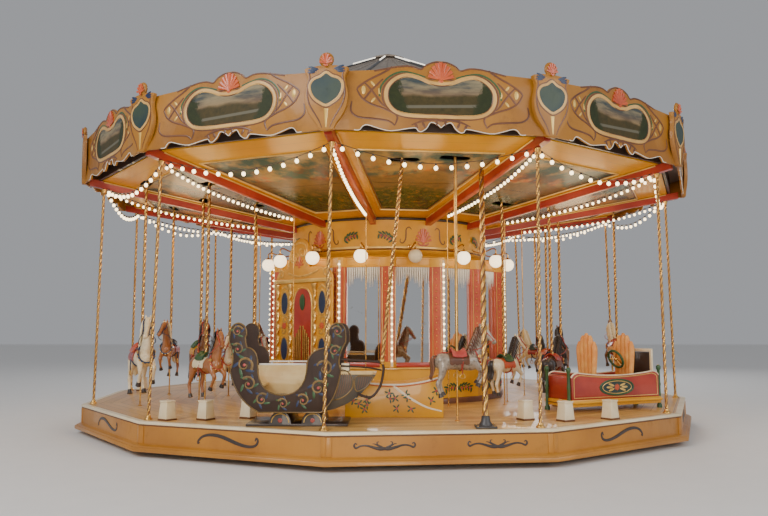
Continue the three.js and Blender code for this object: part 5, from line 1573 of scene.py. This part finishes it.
rail = Piece("gondola_rails")
RAIL_Y = -0.3966
for radius, line in (
    (0.0155, [(0.5974, 0.765), (0.90, 0.745), (1.075, 0.715), (1.078, 0.56), (1.035, 0.43), (0.94, 0.335),
              (0.795, 0.372)]),
    (0.010, [(0.5974, 0.690), (0.90, 0.672), (1.070, 0.640)]),
):
    rail.add(tube([(x, RAIL_Y, z) for x, z in line], radius, steps=6, roundness=3 if len(line) > 3 else 2),
             CARVED, GONDOLA)
rail.add(ball(0.024, 14, 10), BRASS, GONDOLA @ shift(1.078, RAIL_Y, 0.722))
rail.show("carved_wood", "gondola_rail")

pole_low = Vector((-0.066, -4.396, 1.1659))
spot = between(pole_low, at(radians(3), 0.0, 3.83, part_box("gondola_pole")[1].z - 0.002).translation, 3.0)
# the brown strands in the pole's grooves are painted shade
pole = Piece("gondola_twist").add(twist(3.0, 0.0255), BRASS, spot).add(groove_shade(3.0, 0.0255), BROWN, spot)
pole.add(ball(0.034, 14, 10), BRASS, Matrix.Translation(pole_low))
pole.show("brass_pole", "gondola_pole", sharp=60.0)

POST_FOOT = shift(1.107, -4.44, FLOOR_TOP)
spot = between((1.107, -4.44, FLOOR_TOP + 0.02), (1.220, -3.450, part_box("twist_post")[1].z - 0.002), 3.2)
post = Piece("thick_twist_post").add(twist(3.2, 0.037, 0.16, 14), BRASS, spot)
# the brown strands in the post's grooves are painted shade
post.add(groove_shade(3.2, 0.036, 0.16), BROWN, spot)
post.add(block((-0.12, -0.11, 0.0003), (0.12, 0.11, 0.025), 0.006), STEEL, POST_FOOT)
post.add(spun([(0.0, 0.02), (0.075, 0.02), (0.075, 0.045), (0.055, 0.070), (0.046, 0.130), (0.0, 0.135)], 20), STEEL,
         POST_FOOT)
post.add(STUD, BRASS, [POST_FOOT @ shift(x, y, 0.026) for x in (-0.095, 0.095) for y in (-0.085, 0.085)])
post.show("brass_pole", "twist_post", sharp=60.0)

# %% [markdown]
# ## The bench
# The bench has a hollow top line with a pale edge, a light band that crosses its front, and small painted
# flowers.

# %% Bench
BENCH = shift(0.08, -3.225, FLOOR_TOP)
hollow = [(0.62, 0.53), (0.32, 0.42, 0.0, 0.42), (-0.42, 0.42, -0.62, 0.53)]
bench = Piece("painted_bench")
bench.add(board(bent_outline((-0.62, 0.0003), (0.62, 0.0003), *hollow, steps=10), 0.04, 0.006), YELLOW,
          [BENCH @ shift(0, y) for y in (-0.23, 0.27)])
bench.add(block((-0.618, -0.268, 0.0005), (0.618, 0.268, 0.09), 0.004), OCHRE, BENCH)
for x in (-0.62, 0.58):
    bench.add(block((x, -0.268, 0.06), (x + 0.04, 0.268, 0.509), 0.006), YELLOW, BENCH)
top_line = bent_outline(*hollow, steps=10)
band = [(-0.02, 0.405), (0.10, 0.31), (0.25, 0.21), (0.42, 0.125), (0.60, 0.08)]
for y, side in ((-0.271, STAY), (0.271, FLIP_Y)):
    spot = BENCH @ shift(0, y) @ side
    for drop, radius, finish in ((0.012, 0.010, WHITE), (0.032, 0.007, ORANGE_RED)):
        bench.add(relief([(x, z - drop) for x, z in top_line], radius, flat=0.6, steps=1), finish, spot)
    bench.add(relief(band, 0.016, [1.0, 1.1, 1.0, 0.8, 0.6], flat=0.25), CREAM, spot)
    rng = random.Random(11)
    flowers, greens = [], []
    for k in range(15):
        place = shift(rng.uniform(-0.55, 0.55), 0, rng.uniform(0.10, 0.34))
        flowers.append(moved(rosette(0.022), place))
        greens += [moved(petal(0.050, 0.024), place @ tip(lean + 20 * k) @ shift(z=0.036))
                   for lean in (-60, 10, 90, 170)]
    bench.add(flowers, ROSE, spot).add(greens, GREEN, spot)
bench.show("ochre_paint", "bench_body")
Piece("bench_seat_board").add(merged_node("bench_seat", 0.014, 3), CREAM).show("cream_paint", "bench_seat")

# %% [markdown]
# ## The car
# The small car is a red box with a hollow top line and a dark oval on each flank. Its corner posts and
# rails are painted yellow and green, and a pale hoop stands for its screen.

# %% Car body
CAR = shift(3.036, -2.406, FLOOR_TOP) @ tip(26, "Z")
car = Piece("car_shell")
car.add(merged_node("car_body", 0.010, 3, 40.0), RED)
car_side = bent_outline((-0.78, 0.165), (0.78, 0.165), (0.78, 0.455), (0.76, 0.505, 0.67, 0.515),
                        (0.0, 0.425, -0.67, 0.515), (-0.76, 0.505, -0.78, 0.455))
for side in (FLIP_Y, STAY):
    flank = CAR @ side @ shift(0, -0.262)
    flower = flank @ shift(0, -0.004, 0.315)
    car.add(frame_line([(x * 0.955, 0.34 + (z - 0.34) * 0.86) for x, z in car_side], 0.006, 0.6, 1), GOLD_LINE, flank)
    car.add(board(oval(0, 0.315, 0.30, 0.105, 24), 0.006), TEAL, flank @ shift(0, 0.003))
    car.add(frame_line(oval(0, 0.315, 0.30, 0.105, 24), 0.012, 0.7, 1), GREEN, flank)
    car.add(frame_line(oval(0, 0, 0.258, 0.084, 24), 0.005, 0.7, 1), GOLD_LINE, flower)
    car.add(rosette(0.045, 8), ORANGE_RED, flower)
    for lean in (-108, -90, -72, 72, 90, 108):
        out = 0.135 if abs(lean) == 90 else 0.105
        car.add(petal(0.11, 0.034), GOLD_LINE, flower @ tip(lean) @ shift(z=out))
    top_edge = [point for point in car_side if point[1] > 0.44]
    car.add(relief(top_edge, 0.012, flat=1.0, steps=1), CREAM, flank @ shift(0, 0.014, 0.004))
car.show("red_paint", "car_body")

# %% Car frame, screen and wheel
chassis = Piece("car_chassis")
chassis.add(block((-0.808, -0.268, 0.070), (0.808, 0.268, 0.1645), 0.010), YELLOW, CAR)
chassis.add(block((-0.81, -0.272, 0.105), (0.81, 0.272, 0.120), 0.003), BROWN, CAR)
post_shape = spun([(0.0, 0.0003), (0.036, 0.0003), (0.036, 0.040), (0.024, 0.060), (0.022, 0.30), (0.028, 0.33),
                   (0.022, 0.36), (0.020, 0.52), (0.032, 0.545), (0.034, 0.575), (0.018, 0.60), (0.0, 0.60)], 16)
posts = [CAR @ shift(x, y) for x in (-0.81, 0.81) for y in (-0.23, 0.23)]
chassis.add(post_shape, GREEN, posts).add(ball(0.022), GILT, [spot @ shift(z=0.585) for spot in posts])
for y in (-0.292, 0.292):
    chassis.add(bar([(-0.79, y, 0.130), (0.79, y, 0.130)], 0.021, roundness=2), YELLOW, CAR)
chassis.show("yellow_paint", "car_frame")

hoop = Piece("car_screen_hoop").add(merged_node("car_screen", 0.008), CREAM)
hoop.add(block((0.703, -0.180, 0.27), (0.714, 0.180, 0.780), 0.003), DARK, CAR)
hoop.show("cream_paint", "car_screen")

wheel = Piece("car_wheel")
hub = CAR @ shift(0.235, 0.0, 0.685) @ tip(-25)
wheel.add(bar([(0.0, y, z) for y, z in oval(0, 0, 0.13, 0.13, 20)], 0.017, True, 2), GREEN, hub)
spokes = [bar([(0, 0, 0), (0.0, 0.13 * cos(a), 0.13 * sin(a))], 0.009) for a in (0.0, tau / 3, 2 * tau / 3)]
wheel.add(spokes + [tube([(0, 0, 0), (0.10, 0, -0.16), (0.17, 0, -0.38)], 0.016, roundness=2), ball(0.030, 14, 10)],
          BRASS, hub)
wheel.show("brass_pole")

# %% [markdown]
# ## The padded seats
# Each seat has a thick cushion and a shell back with padded flutes. Rounded bars are melted into one skin,
# and a short cloth simulation with air pressure swells it, as stuffing swells leather. A limit on how
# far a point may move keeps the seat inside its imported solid. One seat is made and used twice.

# %% Leather and padding
def leather(name, main, second):
    """Leather with a fine grain, darker in the pits of its grain and lighter in rubbed patches."""
    f = Finish(name)
    grain = f.cells(260.0)
    rubbed = f.fade(f.noise(7.0, 5.0, None, 0.6), 0.4, 0.72)
    folds = f.fade(grain, 0.35, 0.0) * 0.3
    return f.look(Base_Color=f.mix(folds, f.mix(rubbed, main, second), shade(main, 0.5)),
                  Roughness=0.38 + grain * 0.3 + rubbed * 0.1, Normal=f.bump(grain, 0.0012, 0.6))


def swollen(skin, limit):
    """Blows a skin up with cloth simulation, moving no point further than the limit."""
    carrier = placed("swollen", skin)
    cloth = carrier.modifiers.new("cloth", "CLOTH").settings
    cloth.use_pressure, cloth.uniform_pressure_force, cloth.quality = True, 4.0, 4
    cloth.effector_weights.gravity = 0.0
    for step in range(1, 21):
        scene.frame_set(step)
    soft = evaluated(carrier)
    for vert, start in zip(soft.vertices, skin.vertices):
        move = vert.co - start.co
        if move.length > limit:
            vert.co = start.co + move.normalized() * limit
    bpy.data.objects.remove(carrier)
    scene.frame_set(1)
    return soft


def cushion_bars():
    """Four rounded bars along the seat, on a block."""
    shapes = [block((-0.100, -0.190, 0.215), (0.100, 0.190, 0.370), 0.045)]
    for y in [(k - 1.5) * 0.096 for k in range(4)]:
        shapes.append(loft([(-0.105, y, 0.365, 0.030, 0.020), (-0.06, y, 0.372, 0.046, 0.030),
                            (0.06, y, 0.372, 0.046, 0.030), (0.108, y, 0.360, 0.030, 0.020)]))
    return shapes


def shell_flutes():
    """Five fat flutes that spread from the foot of the back."""
    shapes = [block((-0.020, -0.150, 0.215), (0.020, 0.150, 0.62), 0.018)]
    for lean in (-1.0, -0.5, 0.0, 0.5, 1.0):
        top, wide = 1.060 - 0.12 * abs(lean) ** 1.8, 0.142 * lean
        shapes.append(loft([
            (0.0, wide * 0.80, 0.225, 0.030, 0.026), (0.0, wide * 0.98, 0.50, 0.036, 0.034),
            (0.0, wide * 1.14, 0.78, 0.042, 0.038), (0.0, wide * 1.10, top - 0.07, 0.041, 0.038),
            (0.0, wide * 1.06, top, 0.018, 0.016),
        ], 16))
    return shapes


ORANGE_LEATHER = leather("orange_leather", (0.72, 0.27, 0.055), (0.84, 0.42, 0.11))
cushion = swollen(fused(cushion_bars(), 0.008, 3), 0.007)
shell_back = swollen(fused(shell_flutes(), 0.008, 3), 0.006)
print("cushion", len(cushion.polygons), "faces, shell", len(shell_back.polygons), "faces")

# %% Seats in the car
for name, x in (("back", -0.145), ("front", 0.53)):
    seat = Piece(f"padded_{name}_seat").add(cushion, ORANGE_LEATHER, CAR @ shift(x + 0.006))
    seat.add(shell_back, ORANGE_LEATHER, CAR @ shift(x - 0.142))
    seat.show("seat_leather", f"car_{name}_seat", sharp=80.0)

# %% [markdown]
# ## The floor of the studio
# A wide pale floor lies at the height that the ground frame stands on.

# %% Studio floor
ground = bmesh.new()
bmesh.ops.create_grid(ground, x_segments=1, y_segments=1, size=60.0)
studio = Finish("studio_floor")
speckle = studio.noise(3.0, 6.0)
floor = placed("studio_floor", scratch(ground))
floor.data.materials.append(studio.look(
    Base_Color=studio.mix(speckle, (0.82, 0.81, 0.79), (0.77, 0.76, 0.74)), Roughness=0.75 + speckle * 0.1))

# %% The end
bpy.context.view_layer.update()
